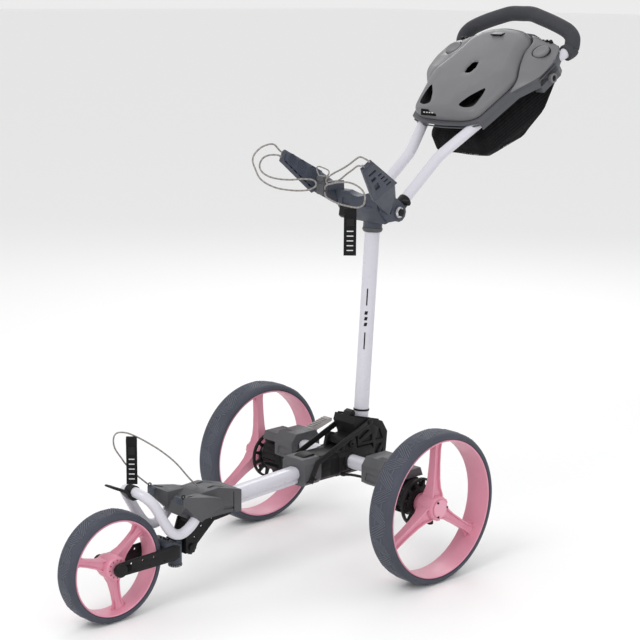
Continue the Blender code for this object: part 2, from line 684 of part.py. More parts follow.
def upper_bracket():
    """The casting on the mast's head: collar, wall, two cheeks and two arms for the bag."""
    collar = loft(mast_rings([(0.638, 0.0178), (0.641, 0.0190), (0.6735, 0.0190)]))
    y, z = HANDLE_PIVOT
    web = side_prism([(0.040, 0.684), (0.034, 0.690), (0.034, 0.7195), (0.048, 0.7215),
                      (0.071, 0.706), (0.0715, 0.664), (0.058, 0.660)], -0.0540, 0.0540)
    parts = []
    for side in (1, -1):
        lobe = [(y + 0.019 * math.cos(a), z + 0.019 * math.sin(a))
                for a in [math.radians(d) for d in (60, 30, 0, -30, -60, -90, -120)]]
        cheek = lobe + [(0.060, 0.664), (0.040, 0.686), (0.040, 0.716), (0.078, 0.712)]
        parts.append(side_prism(cheek, side * 0.0533, side * 0.0600))
        corners = [ARM_LOW, ARM_HIGH, ARM_TIP_HIGH, ARM_TIP_LOW]
        parts.append(arm_slab(side, corners, 0.0, ARM_THICK))
        low = ARM_LOW.lerp(ARM_TIP_LOW, 0.15)
        high = ARM_HIGH.lerp(ARM_TIP_HIGH, 0.08)
        root = [p + ARM_OUT * ARM_THICK * share for p in (low, high) for share in (0.15, 0.80)]
        near = [Vector((x, *yz)) for x in (0.0545, 0.0585)
                for yz in ((0.046, 0.688), (0.048, 0.713), (0.082, 0.702), (0.066, 0.675))]
        parts.append(hull([at(*flip(p, side)) for p in root + near]))
    post = side_prism([(-0.0015, 0.722), (0.030, 0.722), (0.037, 0.700), (0.046, 0.700),
                       (0.044, 0.738), (-0.0015, 0.738)], -0.0595, -0.0480)
    solid = joined(web, collar, post, *parts)
    bore = loft(mast_rings([(0.620, MAST_R + GAP), (0.6683, MAST_R + GAP)]))
    neck = side_prism([(0.0735, 0.6745), (0.0735, 0.712), (0.130, 0.712), (0.130, 0.6745)],
                      -0.0532, 0.0532)
    bolt = cross_rod(y, z, [(-0.07, 0.0047), (0.07, 0.0047)])
    side_relief = [box(s * 0.0285, s * 0.0531, 0.0733, 0.125, 0.650, 0.7125) for s in (1, -1)]
    pad_seats = [arm_slab(side, pad_corners(0.92), -0.0065, 0.0) for side in (1, -1)]
    return cut(solid, bore, neck, bolt, *side_relief, *pad_seats)


def cradle_pad(side):
    """A soft pad on the inner face of the bag arm."""
    return arm_slab(side, pad_corners(0.88), -0.0035, -GAP)


def tip_exit(side, share, reach=0.0006):
    """Where a cord leaves the end face of a bag arm, or a little further out."""
    point = ARM_TIP_HIGH.lerp(ARM_TIP_LOW, share) + ARM_OUT * 0.5 * ARM_THICK
    return at(*flip(point + ARM_END * reach, side))


def mast(body):
    outer = mast_rings([(0.230, MAST_R), (0.668, MAST_R)])
    inner = mast_rings([(0.230, MAST_R - 0.002), (0.668, MAST_R - 0.002)])
    tube = cut(loft(outer + inner[::-1], closed=True), strap_pin_hole())
    piece("mast_tube", tube, "white_tube", body)
    piece("mast_foot", mast_foot(), "black_plastic", body)
    piece("upper_bracket", upper_bracket(), "slate_casting", body)
    for name, side in (("right", 1), ("left", -1)):
        piece(f"cradle_pad_{name}", cradle_pad(side), "pad_rubber", body)
    y, z = STRAP_TOP
    half = [(0.0375, 0.0050), (0.0356, 0.0055), (0.0356, 0.0030)]
    piece("strap_pin", cross_rod(y, z, [(-x, r) for x, r in half] + half[::-1]), "steel", body)
    y, z = HANDLE_PIVOT
    piece("handle_bolt", cross_rod(y, z, [(-0.0645, 0.0085), (-0.0604, 0.0110), (-0.0604, 0.0043),
                                          (0.0604, 0.0043), (0.0604, 0.0110), (0.0645, 0.0085)]),
          "steel", body)
    piece("cord_hook", box(-0.0650, -0.0470, -0.0140, -0.0020, 0.7130, 0.7500),
          "grey_casting", body)
    cord("far_cord", far_cord_route(), CORD_R, "cord", body)
    cord("near_cord", near_cord_route(), CORD_R, "cord", body)
    cord("tab_cord", tab_cord_route(), CORD_R, "cord", body)
    piece("upper_pull_tab", hanging_tab(0.062, -0.0455, 0.6110, 0.7020), "tab_webbing", body)


def far_cord_route():
    """From the left arm's tip, round two open loops, and back to the tip past the hook."""
    return [tip_exit(-1, 0.25), tip_exit(-1, 0.25, 0.008),
            at(-0.122, -0.078, 0.8105), at(-0.127, -0.100, 0.807),
            at(-0.132, -0.116, 0.794), at(-0.133, -0.121, 0.780), at(-0.126, -0.120, 0.764),
            at(-0.120, -0.115, 0.748), at(-0.110, -0.106, 0.737), at(-0.095, -0.092, 0.7285),
            at(-0.082, -0.074, 0.7245), at(-0.073, -0.054, 0.7225), at(-0.0625, -0.036, 0.7240),
            at(-0.0560, -0.0245, 0.7320), at(-0.0585, -0.0280, 0.7420),
            at(-0.068, -0.046, 0.7450), at(-0.082, -0.068, 0.7440), at(-0.097, -0.086, 0.7455),
            at(-0.114, -0.097, 0.7500), at(-0.129, -0.1015, 0.7585), at(-0.1355, -0.1010, 0.7700),
            at(-0.134, -0.094, 0.7830), at(-0.128, -0.0820, 0.7890),
            tip_exit(-1, 0.75, 0.008), tip_exit(-1, 0.75)]


def near_cord_route():
    """From the right arm's tip to the hook's side and back to the same tip."""
    return [tip_exit(1, 0.20), tip_exit(1, 0.20, 0.007),
            at(0.110, -0.0680, 0.8040), at(0.082, -0.0540, 0.7960),
            at(0.051, -0.038, 0.7840), at(0.020, -0.026, 0.7720), at(-0.012, -0.0175, 0.7600),
            at(-0.036, -0.0115, 0.7490), at(-0.0440, -0.0090, 0.7400), at(-0.0360, -0.0095, 0.7350),
            at(-0.016, -0.0140, 0.7400), at(0.008, -0.0200, 0.7500), at(0.031, -0.027, 0.7620),
            at(0.056, -0.036, 0.7730), at(0.079, -0.048, 0.7820), at(0.100, -0.0610, 0.7865),
            at(0.1140, -0.0720, 0.7875), tip_exit(1, 0.72, 0.007), tip_exit(1, 0.72)]


def tab_cord_route():
    """The loop that carries the pull tab, both ends in the hook's side."""
    return [at(-0.0450, -0.0110, 0.7250), at(-0.032, -0.0210, 0.7330), at(-0.014, -0.0265, 0.7395),
            at(0.008, -0.031, 0.7440), at(0.030, -0.038, 0.7475), at(0.055, -0.045, 0.7500),
            at(0.079, -0.050, 0.7480), at(0.098, -0.053, 0.7420), at(0.109, -0.055, 0.7330),
            at(0.110, -0.055, 0.7230), at(0.103, -0.052, 0.7125), at(0.087, -0.050, 0.7060),
            at(0.066, -0.047, 0.7045), at(0.042, -0.044, 0.7050), at(0.020, -0.040, 0.7065),
            at(-0.003, -0.034, 0.7090), at(-0.026, -0.0250, 0.7125), at(-0.0450, -0.0110, 0.7175)]


def hanging_tab(x, y, z0, z1, turn=math.radians(46.6), width=0.024):
    """A flat webbing tab hanging on its cord."""
    across = Vector((math.cos(turn), math.sin(turn), 0.0)) * (width / 2)
    through = Vector((-math.sin(turn), math.cos(turn), 0.0)) * 0.0013
    rings = []
    for z in (z0, z1):
        centre = at(x, y, z)
        rings.append([centre + across + through, centre - across + through,
                      centre - across - through, centre + across - through])
    return loft(rings)


# ---------------------------------------------------------------- handle
def handle_x(u):
    return HANDLE_TUBE_X + max(0.0, u - HANDLE_BEND_U) * HANDLE_SPREAD


GRIP_HALF = [(0.1470, 0.4960, 0.9900), (0.1482, 0.4995, 1.0030), (0.1445, 0.5030, 1.0150),
             (0.1320, 0.5055, 1.0260), (0.1135, 0.5065, 1.0345), (0.0860, 0.5080, 1.0440),
             (0.0550, 0.5105, 1.0530), (0.0280, 0.5135, 1.0595), (0.0, 0.5150, 1.0600)]


def handle_path():
    half = [on_handle(handle_x(u), u) for u in (0.0125, 0.080, 0.150)]
    half += [on_handle(HANDLE_TUBE_X + 0.0012, 0.163), on_handle(HANDLE_TUBE_X + 0.0046, 0.176)]
    half += [on_handle(handle_x(u) - 0.0006, u) for u in (0.200, 0.330, 0.460)]
    half += [at(*p) for p in GRIP_HALF]
    return mirror_path(half)


def grip_path():
    start = on_handle(handle_x(0.460) - 0.0006, 0.460).lerp(at(*GRIP_HALF[0]), 0.62)
    return mirror_path([start] + [at(*p) for p in GRIP_HALF])


def handle_knuckle():
    """Two barrels on one sleeve round the bolt, each with a flange and a stop pin."""
    y, z = HANDLE_PIVOT
    angle = math.radians(41)
    pin_y, pin_z = y + 0.0262 * math.cos(angle), z + 0.0262 * math.sin(angle)
    sleeve = cross_rod(y, z, [(-0.035, 0.0068), (0.035, 0.0068)])
    parts = []
    for side in (1, -1):
        parts.append(cross_rod(y, z, [(side * 0.0297, 0.0158), (side * 0.0525, 0.0158)], 12))
        edge = [(y + a, z + b) for a, b in circle(0.0158, 12)]
        edge += [(pin_y + a, pin_z + b) for a, b in circle(0.0055, 8)]
        parts.append(hull([at(side * x, a, b) for a, b in edge for x in (0.0518, 0.0530)]))
        parts.append(cross_rod(pin_y, pin_z, [(side * 0.0520, 0.0055), (side * 0.0668, 0.0055)], 10))
    return cut(joined(sleeve, *parts), cross_rod(y, z, [(-0.06, 0.0047), (0.06, 0.0047)]))


CONSOLE_TOP = 0.0180             # the console's top face, above the tubes' middle plane
CONSOLE_OUTLINE = [(0.0, 0.235), (0.060, 0.238), (0.090, 0.250), (0.117, 0.350), (0.150, 0.386),
                   (0.158, 0.440), (0.142, 0.484), (0.100, 0.496), (0.058, 0.516), (0.0, 0.524)]
CONSOLE_MOUTH = [(0.0, 0.272), (0.044, 0.273), (0.108, 0.474), (0.0, 0.476)]
LID_OUTLINE = [(0.0, 0.242), (0.058, 0.245), (0.085, 0.256), (0.108, 0.350), (0.112, 0.372),
               (0.095, 0.410), (0.083, 0.446), (0.082, 0.478), (0.056, 0.506), (0.0, 0.516)]
LID_TOP = [(0.0, 0.262), (0.046, 0.270), (0.060, 0.284), (0.078, 0.352), (0.080, 0.372),
           (0.070, 0.404), (0.062, 0.440), (0.056, 0.462), (0.036, 0.482), (0.0, 0.488)]


def console_base():
    """A plate across the tubes with an open mouth, and a skirt outside each tube."""
    plate = plane_prism(mirrored(CONSOLE_OUTLINE), 0.0118, CONSOLE_TOP)
    mouth = plane_prism(mirrored(CONSOLE_MOUTH), 0.0, 0.040)
    skirts = [plane_prism([(s * 0.1285, 0.386), (s * 0.1500, 0.386), (s * 0.1580, 0.440),
                           (s * 0.1515, 0.455)], -0.0220, 0.0150) for s in (1, -1)]
    return cut(joined(plate, *skirts), mouth)


def console_lid():
    """A domed lid, hinged at the console's lower edge."""
    def shrink(outline, by):
        return mirrored([(x * (1 - by / 0.09), 0.375 + (u - 0.375) * (1 - by / 0.13))
                         for x, u in outline])
    rings = [(mirrored(LID_TOP), 0.0480), (mirrored(LID_OUTLINE), 0.0280),
             (mirrored(LID_OUTLINE), CONSOLE_TOP + GAP),
             (shrink(LID_OUTLINE, 0.003), CONSOLE_TOP + GAP),
             (shrink(LID_OUTLINE, 0.003), 0.0270), (shrink(LID_TOP, 0.003), 0.0452)]
    return loft([[on_handle(x, u, n) for x, u in outline] for outline, n in rings])


def net_bag():
    """An open-topped net pouch hanging under the console, between the handle tubes."""
    levels = [(0.0112, 0.0560, 0.1240, 0.262, 0.486), (-0.0135, 0.0560, 0.1240, 0.262, 0.486),
              (-0.040, 0.078, 0.134, 0.247, 0.462), (-0.072, 0.080, 0.124, 0.244, 0.412),
              (-0.102, 0.052, 0.090, 0.272, 0.362)]

    def ring(level, inset):
        n, front, rear, low, high = level
        front, rear, low, high = front - inset, rear - inset, low + inset, high - inset
        half = [(0.0, low), (front * 0.8, low), (front, low + 0.016), (rear, high - 0.02),
                (rear * 0.88, high), (0.0, high)]
        return [on_handle(x, u, n) for x, u in mirrored(half)]

    outer = [ring(level, 0.0) for level in levels]
    inner = [ring(level, 0.0025) for level in levels[:-1]]
    n, front, rear, low, high = levels[-1]
    inner.append(ring((n + 0.003, front, rear, low, high), 0.0025))
    return loft(outer[::-1] + inner)


def accessory_cap(side):
    disc = [(side * 0.119 + a, 0.455 + b) for a, b in circle(0.0180, 20)]
    return plane_prism(disc, CONSOLE_TOP + GAP, 0.0252)


def handle(parent):
    body = joint_empty("handle_fold_line", at(0, *HANDLE_PIVOT), parent)
    path = smooth_path(handle_path(), 1)
    piece("handle_tube", pipe(path, HANDLE_TUBE_R, 0.002, 8), "white_tube", body)
    outer = path_rings(grip_path(), GRIP_R, 10)
    inner = path_rings(grip_path(), HANDLE_TUBE_R + 0.0010, 10)
    piece("handle_grip", loft(outer + inner[::-1], closed=True), "grip_foam", body)
    piece("handle_knuckle", handle_knuckle(), "black_plastic", body)
    piece("console_base", console_base(), "console_plastic", body)
    piece("net_bag", net_bag(), "net", body)
    lid_body = joint_empty("lid_hinge_line", on_handle(0, 0.240, CONSOLE_TOP), body)
    piece("console_lid", console_lid(), "console_plastic", lid_body)
    for name, side in (("right", 1), ("left", -1)):
        cap_body = joint_empty(f"cap_{name}_line", on_handle(side * 0.119, 0.455, CONSOLE_TOP), body)
        piece(f"accessory_cap_{name}", accessory_cap(side), "console_plastic", cap_body)


# ---------------------------------------------------------------- brake and front cord
PEDAL_PIVOT = (0.0405, 0.2035)


def brake():
    y, z = PEDAL_PIVOT
    pivot = joint_empty("brake_pedal_line", at(-0.150, y, z))
    barrel = cross_rod(y, z, [(-0.160, 0.0055), (-0.140, 0.0055)])
    plate = side_prism([(y + 0.001, z - 0.0035), (y + 0.001, z + 0.0040), (y + 0.062, z + 0.0200),
                        (y + 0.067, z + 0.0185), (y + 0.066, z + 0.0125), (y + 0.010, z - 0.0035)],
                       -0.160, -0.140)
    piece("brake_pedal", joined(barrel, plate), "pedal_plastic", pivot)
    for name, side in (("right", 1), ("left", -1)):
        height = REAR_R + PIN_RADIUS_FROM_AXLE
        body = joint_empty(f"brake_pin_{name}_line", at(side * 0.19, 0, height))
        piece(f"brake_pin_{name}", cross_rod(0, height, [(side * 0.190, 0.0028),
                                                         (side * 0.2105, 0.0028)]), "steel", body)


def front_cord():
    route = [at(0.0, -0.3700, 0.2070), at(-0.002, -0.386, 0.223), at(-0.008, -0.414, 0.258),
             at(-0.015, -0.440, 0.283), at(-0.022, -0.466, 0.303), at(-0.028, -0.486, 0.3165),
             at(-0.034, -0.505, 0.3265), at(-0.040, -0.521, 0.328), at(-0.043, -0.527, 0.318),
             at(-0.045, -0.523, 0.299), at(-0.047, -0.506, 0.275), at(-0.048, -0.496, 0.262),
             at(-0.049, -0.472, 0.237), at(-0.0495, -0.4470, 0.2150)]
    cord("front_cord", route, 0.0015, "cord", None, 4)
    piece("front_pull_tab", hanging_tab(-0.031, -0.4965, 0.2300, 0.3185, width=0.020),
          "tab_webbing")


# ---------------------------------------------------------------- assembly
clear_scene()
lower_frame()
brake()
front_cord()
fork()
rear_wheel("right_wheel", 1, math.radians(87))
rear_wheel("left_wheel", -1, math.radians(93))
mast_body = joint_empty("mast_fold_line", at(0, *MAST_PIVOT))
mast(mast_body)
handle(mast_body)
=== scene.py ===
import json
import math

import bmesh
import bpy
from mathutils import Matrix, Vector


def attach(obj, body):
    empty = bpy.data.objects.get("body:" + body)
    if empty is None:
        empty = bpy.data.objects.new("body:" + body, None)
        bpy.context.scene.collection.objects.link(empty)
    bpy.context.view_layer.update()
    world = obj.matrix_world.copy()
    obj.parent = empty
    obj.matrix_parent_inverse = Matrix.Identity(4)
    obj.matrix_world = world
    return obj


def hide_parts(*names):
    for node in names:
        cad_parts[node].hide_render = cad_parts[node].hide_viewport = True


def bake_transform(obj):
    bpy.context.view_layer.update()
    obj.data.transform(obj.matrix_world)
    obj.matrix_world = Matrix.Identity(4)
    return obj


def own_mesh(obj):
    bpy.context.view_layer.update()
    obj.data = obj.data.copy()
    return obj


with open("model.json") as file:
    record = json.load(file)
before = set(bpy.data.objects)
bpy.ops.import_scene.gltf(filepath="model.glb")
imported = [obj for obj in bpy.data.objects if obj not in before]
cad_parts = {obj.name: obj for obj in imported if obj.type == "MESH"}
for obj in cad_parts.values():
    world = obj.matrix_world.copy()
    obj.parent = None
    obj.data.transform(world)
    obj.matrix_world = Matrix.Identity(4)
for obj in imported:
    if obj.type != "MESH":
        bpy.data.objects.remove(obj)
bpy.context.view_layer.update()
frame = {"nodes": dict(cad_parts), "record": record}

# ---------------------------------------------------------------- sizes, in metres
AXLE_Y = 0.070                   # rear axle, behind the middle of the trolley
REAR_R = 0.1475
REAR_HALF_WIDTH = 0.028
REAR_BEAD_R = 0.1345
TRACK_X = 0.248
FRONT_R = 0.101
FRONT_HALF_WIDTH = 0.0225
FRONT_BEAD_R = 0.0885
FRONT_HUB = (-0.570, 0.101)      # y, z
FORK_PIVOT = (-0.400, 0.100)
TRACKING_Y = -0.424
MAST_PIVOT = (-0.004, 0.2245)
MAST_BOTTOM = Vector((0.0, 0.053, 0.264))
MAST_TOP = Vector((0.0, 0.077, 0.638))
MAST_R = 0.015
HANDLE_PIVOT = (0.0905, 0.6815)
HANDLE_START = Vector((0.0, 0.098, 0.680))
HANDLE_TILT = math.radians(39.0)
HANDLE_TUBE_R = 0.011
HANDLE_TUBE_X = 0.0405
HANDLE_BEND_U = 0.161
HANDLE_SPREAD = 0.329
GRIP_R = 0.0158
CORD_R = 0.0017
FRONT_CORD_R = 0.0015

U_AXIS = Vector((0.0, math.cos(HANDLE_TILT), math.sin(HANDLE_TILT)))
N_AXIS = Vector((0.0, -math.sin(HANDLE_TILT), math.cos(HANDLE_TILT)))
MAST_AXIS = (MAST_TOP - MAST_BOTTOM).normalized()
SIDES = (("right", 1), ("left", -1))


# ---------------------------------------------------------------- places and outlines
def at(x, y, z):
    """A point given from the rear axle, in the part's frame."""
    return Vector((x, y + AXLE_Y, z))


def on_handle(x, u, n=0.0):
    """A point on the sloping handle plane: sideways, along it, and above it."""
    return at(*(HANDLE_START + Vector((x, 0.0, 0.0)) + U_AXIS * u + N_AXIS * n))


def mirrored(points):
    """Right half of an outline, continued with its mirror image."""
    return points + [(-a, b) for a, b in reversed(points) if a > 1e-6]


def circle(radius, sides=24, turn=0.0):
    step = 2 * math.pi / sides
    return [(radius * math.cos(turn + i * step), radius * math.sin(turn + i * step))
            for i in range(sides)]


def curve_between(a, b, c, d, t):
    """Catmull-Rom: a point between b and c."""
    return 0.5 * (2 * b + (c - a) * t + (2 * a - 5 * b + 4 * c - d) * t ** 2
                  + (3 * b - a - 3 * c + d) * t ** 3)


def smooth_path(points, per_span):
    """A smooth open curve read at even steps between the given points."""
    padded = [2 * points[0] - points[1]] + points + [2 * points[-1] - points[-2]]
    path = []
    for a, b, c, d in zip(padded, padded[1:], padded[2:], padded[3:]):
        path += [curve_between(a, b, c, d, i / per_span) for i in range(per_span)]
    path.append(points[-1])
    return path


def smooth_outline(outline, per_span):
    """A closed outline of pairs with its corners rounded by a smooth curve."""
    places = [Vector(p) for p in outline]
    count = len(places)
    result = []
    for i in range(count):
        a, b, c, d = (places[(i + k) % count] for k in (-1, 0, 1, 2))
        for k in range(per_span):
            result.append(tuple(curve_between(a, b, c, d, k / per_span)))
    return result


def rounded_outline(outline, radius, steps=4):
    """A closed outline with each corner cut by a small arc."""
    places = [Vector(p) for p in outline]
    count = len(places)
    result = []
    for i in range(count):
        before, corner, after = places[i - 1], places[i], places[(i + 1) % count]
        reach = min(radius, 0.45 * (before - corner).length, 0.45 * (after - corner).length)
        start = corner + (before - corner).normalized() * reach
        end = corner + (after - corner).normalized() * reach
        for k in range(steps + 1):
            t = k / steps
            result.append(tuple((1 - t) ** 2 * start + 2 * t * (1 - t) * corner + t * t * end))
    return result


def mirror_path(half):
    """A path from the right end to the middle, carried on to the left end."""
    return half + [Vector((-p.x, p.y, p.z)) for p in reversed(half[:-1])]


def flip(point, side):
    return Vector((side * point.x, point.y, point.z))


def path_frames(path):
    """A steady pair of cross directions at each point of a path."""
    tangents = []
    for i in range(len(path)):
        ahead = path[min(i + 1, len(path) - 1)]
        behind = path[max(i - 1, 0)]
        tangents.append((ahead - behind).normalized())
    side = tangents[0].orthogonal().normalized()
    frames = []
    for tangent in tangents:
        side = (side - tangent * side.dot(tangent)).normalized()
        frames.append((side, tangent.cross(side)))
    return frames


# ---------------------------------------------------------------- meshes
def closed_mesh(bm):
    bmesh.ops.remove_doubles(bm, verts=bm.verts, dist=2e-6)
    bmesh.ops.recalc_face_normals(bm, faces=bm.faces)
    if bm.calc_volume(signed=True) < 0:
        bmesh.ops.reverse_faces(bm, faces=bm.faces)
    mesh = bpy.data.meshes.new("shape")
    bm.to_mesh(mesh)
    bm.free()
    return mesh


def loft(rings, closed=False, lengths=None):
    """Skin rings of points, capped at both ends unless closed, with a UV map along it."""
    bm = bmesh.new()
    layer = bm.loops.layers.uv.new("along")
    rows = [[bm.verts.new(p) for p in ring] for ring in rings]
    count = len(rows[0])
    last = len(rows) if closed else len(rows) - 1
    lengths = lengths or [i / len(rows) for i in range(len(rows) + 1)]
    for i in range(last):
        a, b = rows[i], rows[(i + 1) % len(rows)]
        for j in range(count):
            k = (j + 1) % count
            face = bm.faces.new((a[j], a[k], b[k], b[j]))
            corners = ((j, i), (j + 1, i), (j + 1, i + 1), (j, i + 1))
            for loop, (around, along) in zip(face.loops, corners):
                loop[layer].uv = (around / count, lengths[min(along, len(lengths) - 1)])
    if not closed:
        bm.faces.new(rows[0])
        bm.faces.new(rows[-1])
    return closed_mesh(bm)


def tube(path, radius, sides=16):
    """A solid round rod; its UV map runs round it and, in metres, along it."""
    rings = [[p + a * ca + b * sb for ca, sb in circle(radius, sides)]
             for p, (a, b) in zip(path, path_frames(path))]
    lengths = [0.0]
    for a, b in zip(path, path[1:]):
        lengths.append(lengths[-1] + (b - a).length)
    return loft(rings, lengths=lengths)


def pipe(path, radius, wall, sides=20):
    """An open-ended tube with a wall."""
    frames = path_frames(path)
    walls = []
    for r, order in ((radius, 1), (radius - wall, -1)):
        rings = [[p + a * ca + b * sb for ca, sb in circle(r, sides)]
                 for p, (a, b) in zip(path, frames)]
        walls += rings[::order]
    return loft(walls, closed=True)


def side_prism(outline, x0, x1):
    """An outline of (y, z) points, pulled out along X."""
    return loft([[at(x, y, z) for y, z in outline] for x in (x0, x1)])


def long_prism(outline, y0, z0, y1, z1):
    """An outline of (x, height) points, pulled out along the trolley."""
    return loft([[at(x, y, z + h) for x, h in outline] for y, z in ((y0, z0), (y1, z1))])


def slab(centre, along, across, through, size):
    """A box given by its middle, three directions and three sizes."""
    a, b, c = (d * s / 2 for d, s in zip((along, across, through), size))
    low = [centre - a - b - c, centre + a - b - c, centre + a + b - c, centre - a + b - c]
    return loft([low, [p + 2 * c for p in low]])


def turned(centre, axis, stations, sides=32):
    """A solid turned round an axis, from (distance along the axis, radius) stations."""
    axis = axis.normalized()
    a = axis.orthogonal().normalized()
    b = axis.cross(a)
    return loft([[centre + axis * d + a * ca + b * sb for ca, sb in circle(r, sides)]
                 for d, r in stations])


def turned_ring(centre, profile, side=1, segments=96):
    """A closed (x offset, radius) profile turned round a wheel's axis."""
    rings = []
    for i in range(segments):
        angle = 2 * math.pi * i / segments
        out = Vector((0.0, math.cos(angle), math.sin(angle)))
        rings.append([centre + Vector((side * dx, 0.0, 0.0)) + out * r for dx, r in profile])
    return loft(rings, closed=True)


def gathered(*meshes):
    """Several closed meshes as one."""
    bm = bmesh.new()
    bm.loops.layers.uv.new("along")
    for mesh in meshes:
        bm.from_mesh(mesh)
    mesh = bpy.data.meshes.new("shape")
    bm.to_mesh(mesh)
    bm.free()
    return mesh


def boolean(base, others, operation):
    """One mesh from Boolean operations on copies of the given meshes."""
    target = bpy.data.objects.new("target", base)
    helpers = [bpy.data.objects.new("helper", other) for other in others]
    for obj in [target] + helpers:
        bpy.context.collection.objects.link(obj)
    for helper in helpers:
        modifier = target.modifiers.new("cut", "BOOLEAN")
        modifier.operation = operation
        modifier.object = helper
    bpy.context.view_layer.update()
    graph = bpy.context.evaluated_depsgraph_get()
    mesh = bpy.data.meshes.new_from_object(target.evaluated_get(graph))
    for obj in [target] + helpers:
        bpy.data.objects.remove(obj, do_unlink=True)
    return mesh


def cut(base, *others):
    return boolean(base, others, "DIFFERENCE")


def node_mesh(node):
    """A copy of a CAD node's mesh, welded, with its flat faces merged again."""
    bm = bmesh.new()
    bm.from_mesh(frame["nodes"][node].data)
    bmesh.ops.remove_doubles(bm, verts=bm.verts, dist=2e-6)
    bmesh.ops.dissolve_limit(bm, angle_limit=math.radians(0.8), verts=bm.verts, edges=bm.edges)
    mesh = bpy.data.meshes.new("copy")
    bm.to_mesh(mesh)
    bm.free()
    return mesh


# ---------------------------------------------------------------- pieces
SLOT_OF = {p["node"]: p["material_slot"] for p in frame["record"]["subparts"]}


def piece(name, mesh, finish, body, stands_for=(), bevel=0.0, smooth=35, slot=None):
    """A finished piece on its body: soft edges by a bevel, smooth shading below an angle."""
    obj = bpy.data.objects.new(name, mesh)
    bpy.context.collection.objects.link(obj)
    mesh.materials.clear()
    mesh.materials.append(finish)
    if bevel:
        modifier = obj.modifiers.new("soft edges", "BEVEL")
        modifier.width = bevel
        modifier.segments = 2
        modifier.limit_method = "ANGLE"
        modifier.angle_limit = math.radians(28)
        modifier.use_clamp_overlap = True
        bpy.context.view_layer.update()
        graph = bpy.context.evaluated_depsgraph_get()
        obj.data = bpy.data.meshes.new_from_object(obj.evaluated_get(graph))
        obj.modifiers.clear()
    obj.data.shade_smooth()
    obj.data.set_sharp_from_angle(angle=math.radians(smooth))
    if body:
        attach(obj, body)
    if stands_for:
        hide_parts(*stands_for)
    slot = slot or (SLOT_OF[stands_for[0]] if stands_for else None)
    return obj


# ---------------------------------------------------------------- camera
def make_camera():
    target = at(0.0, -0.0631, 0.4782)
    azimuth, elevation, roll = (math.radians(d) for d in (46.5908, 11.7671, 0.5653))
    distance = 3.1036
    back = Vector((math.sin(azimuth) * math.cos(elevation),
                   -math.cos(azimuth) * math.cos(elevation), math.sin(elevation)))
    right = Vector((math.cos(azimuth), math.sin(azimuth), 0.0))
    up = back.cross(right)
    right, up = (right * math.cos(roll) + up * math.sin(roll),
                 up * math.cos(roll) - right * math.sin(roll))
    data = bpy.data.cameras.new("camera")
    data.lens = 89.95
    data.sensor_width = 36.0
    camera = bpy.data.objects.new("camera", data)
    bpy.context.collection.objects.link(camera)
    turn = Matrix((right, up, back)).transposed().to_4x4()
    camera.matrix_world = Matrix.Translation(target + back * distance) @ turn
    bpy.context.scene.camera = camera


make_camera()


# ---------------------------------------------------------------- finishes
class Nodes:
    """A short hand for a material's node tree."""

    def __init__(self, name):
        self.material = bpy.data.materials.new(name)
        self.material.use_nodes = True
        self.tree = self.material.node_tree
        self.shader = self.tree.nodes["Principled BSDF"]
        self.coords = self.add("ShaderNodeTexCoord")

    def add(self, kind, **inputs):
        node = self.tree.nodes.new(kind)
        for key, value in inputs.items():
            node.inputs[key.replace("_", " ")].default_value = value
        return node

    def link(self, out, into):
        self.tree.links.new(out, into)

    def noise(self, scale, detail=3.0, source=None):
        node = self.add("ShaderNodeTexNoise", Scale=scale, Detail=detail)
        self.link(source or self.coords.outputs["Object"], node.inputs["Vector"])
        return node.outputs["Fac"]

    def ranged(self, value, low, high, from_low=0.3, from_high=0.7):
        node = self.tree.nodes.new("ShaderNodeMapRange")
        for key, number in (("From Min", from_low), ("From Max", from_high),
                            ("To Min", low), ("To Max", high)):
            node.inputs[key].default_value = number
        self.link(value, node.inputs["Value"])
        return node.outputs["Result"]

    def mixed(self, factor, colour_a, colour_b):
        """Two colours, each a plain colour or another node's output, mixed by a factor."""
        node = self.tree.nodes.new("ShaderNodeMix")
        node.data_type = "RGBA"
        self.link(factor, node.inputs["Factor"])
        for socket, colour in ((node.inputs[6], colour_a), (node.inputs[7], colour_b)):
            if isinstance(colour, tuple):
                socket.default_value = (*colour, 1.0)
            else:
                self.link(colour, socket)
        return node.outputs[2]

    def maths(self, operation, a, b=None):
        node = self.tree.nodes.new("ShaderNodeMath")
        node.operation = operation
        for socket, value in zip(node.inputs, (a, b)):
            if value is None:
                continue
            if isinstance(value, float):
                socket.default_value = value
            else:
                self.link(value, socket)
        return node.outputs[0]

    def bump(self, height, strength, distance, base=None):
        node = self.add("ShaderNodeBump", Strength=strength, Distance=distance)
        self.link(height, node.inputs["Height"])
        if base:
            self.link(base, node.inputs["Normal"])
        return node.outputs["Normal"]

    def dress(self, colour, roughness, normal=None):
        self.link(colour, self.shader.inputs["Base Color"])
        self.link(roughness, self.shader.inputs["Roughness"])
        if normal:
            self.link(normal, self.shader.inputs["Normal"])
        return self.material


def scaled(colour, share):
    return tuple(min(1.0, c * share) for c in colour)


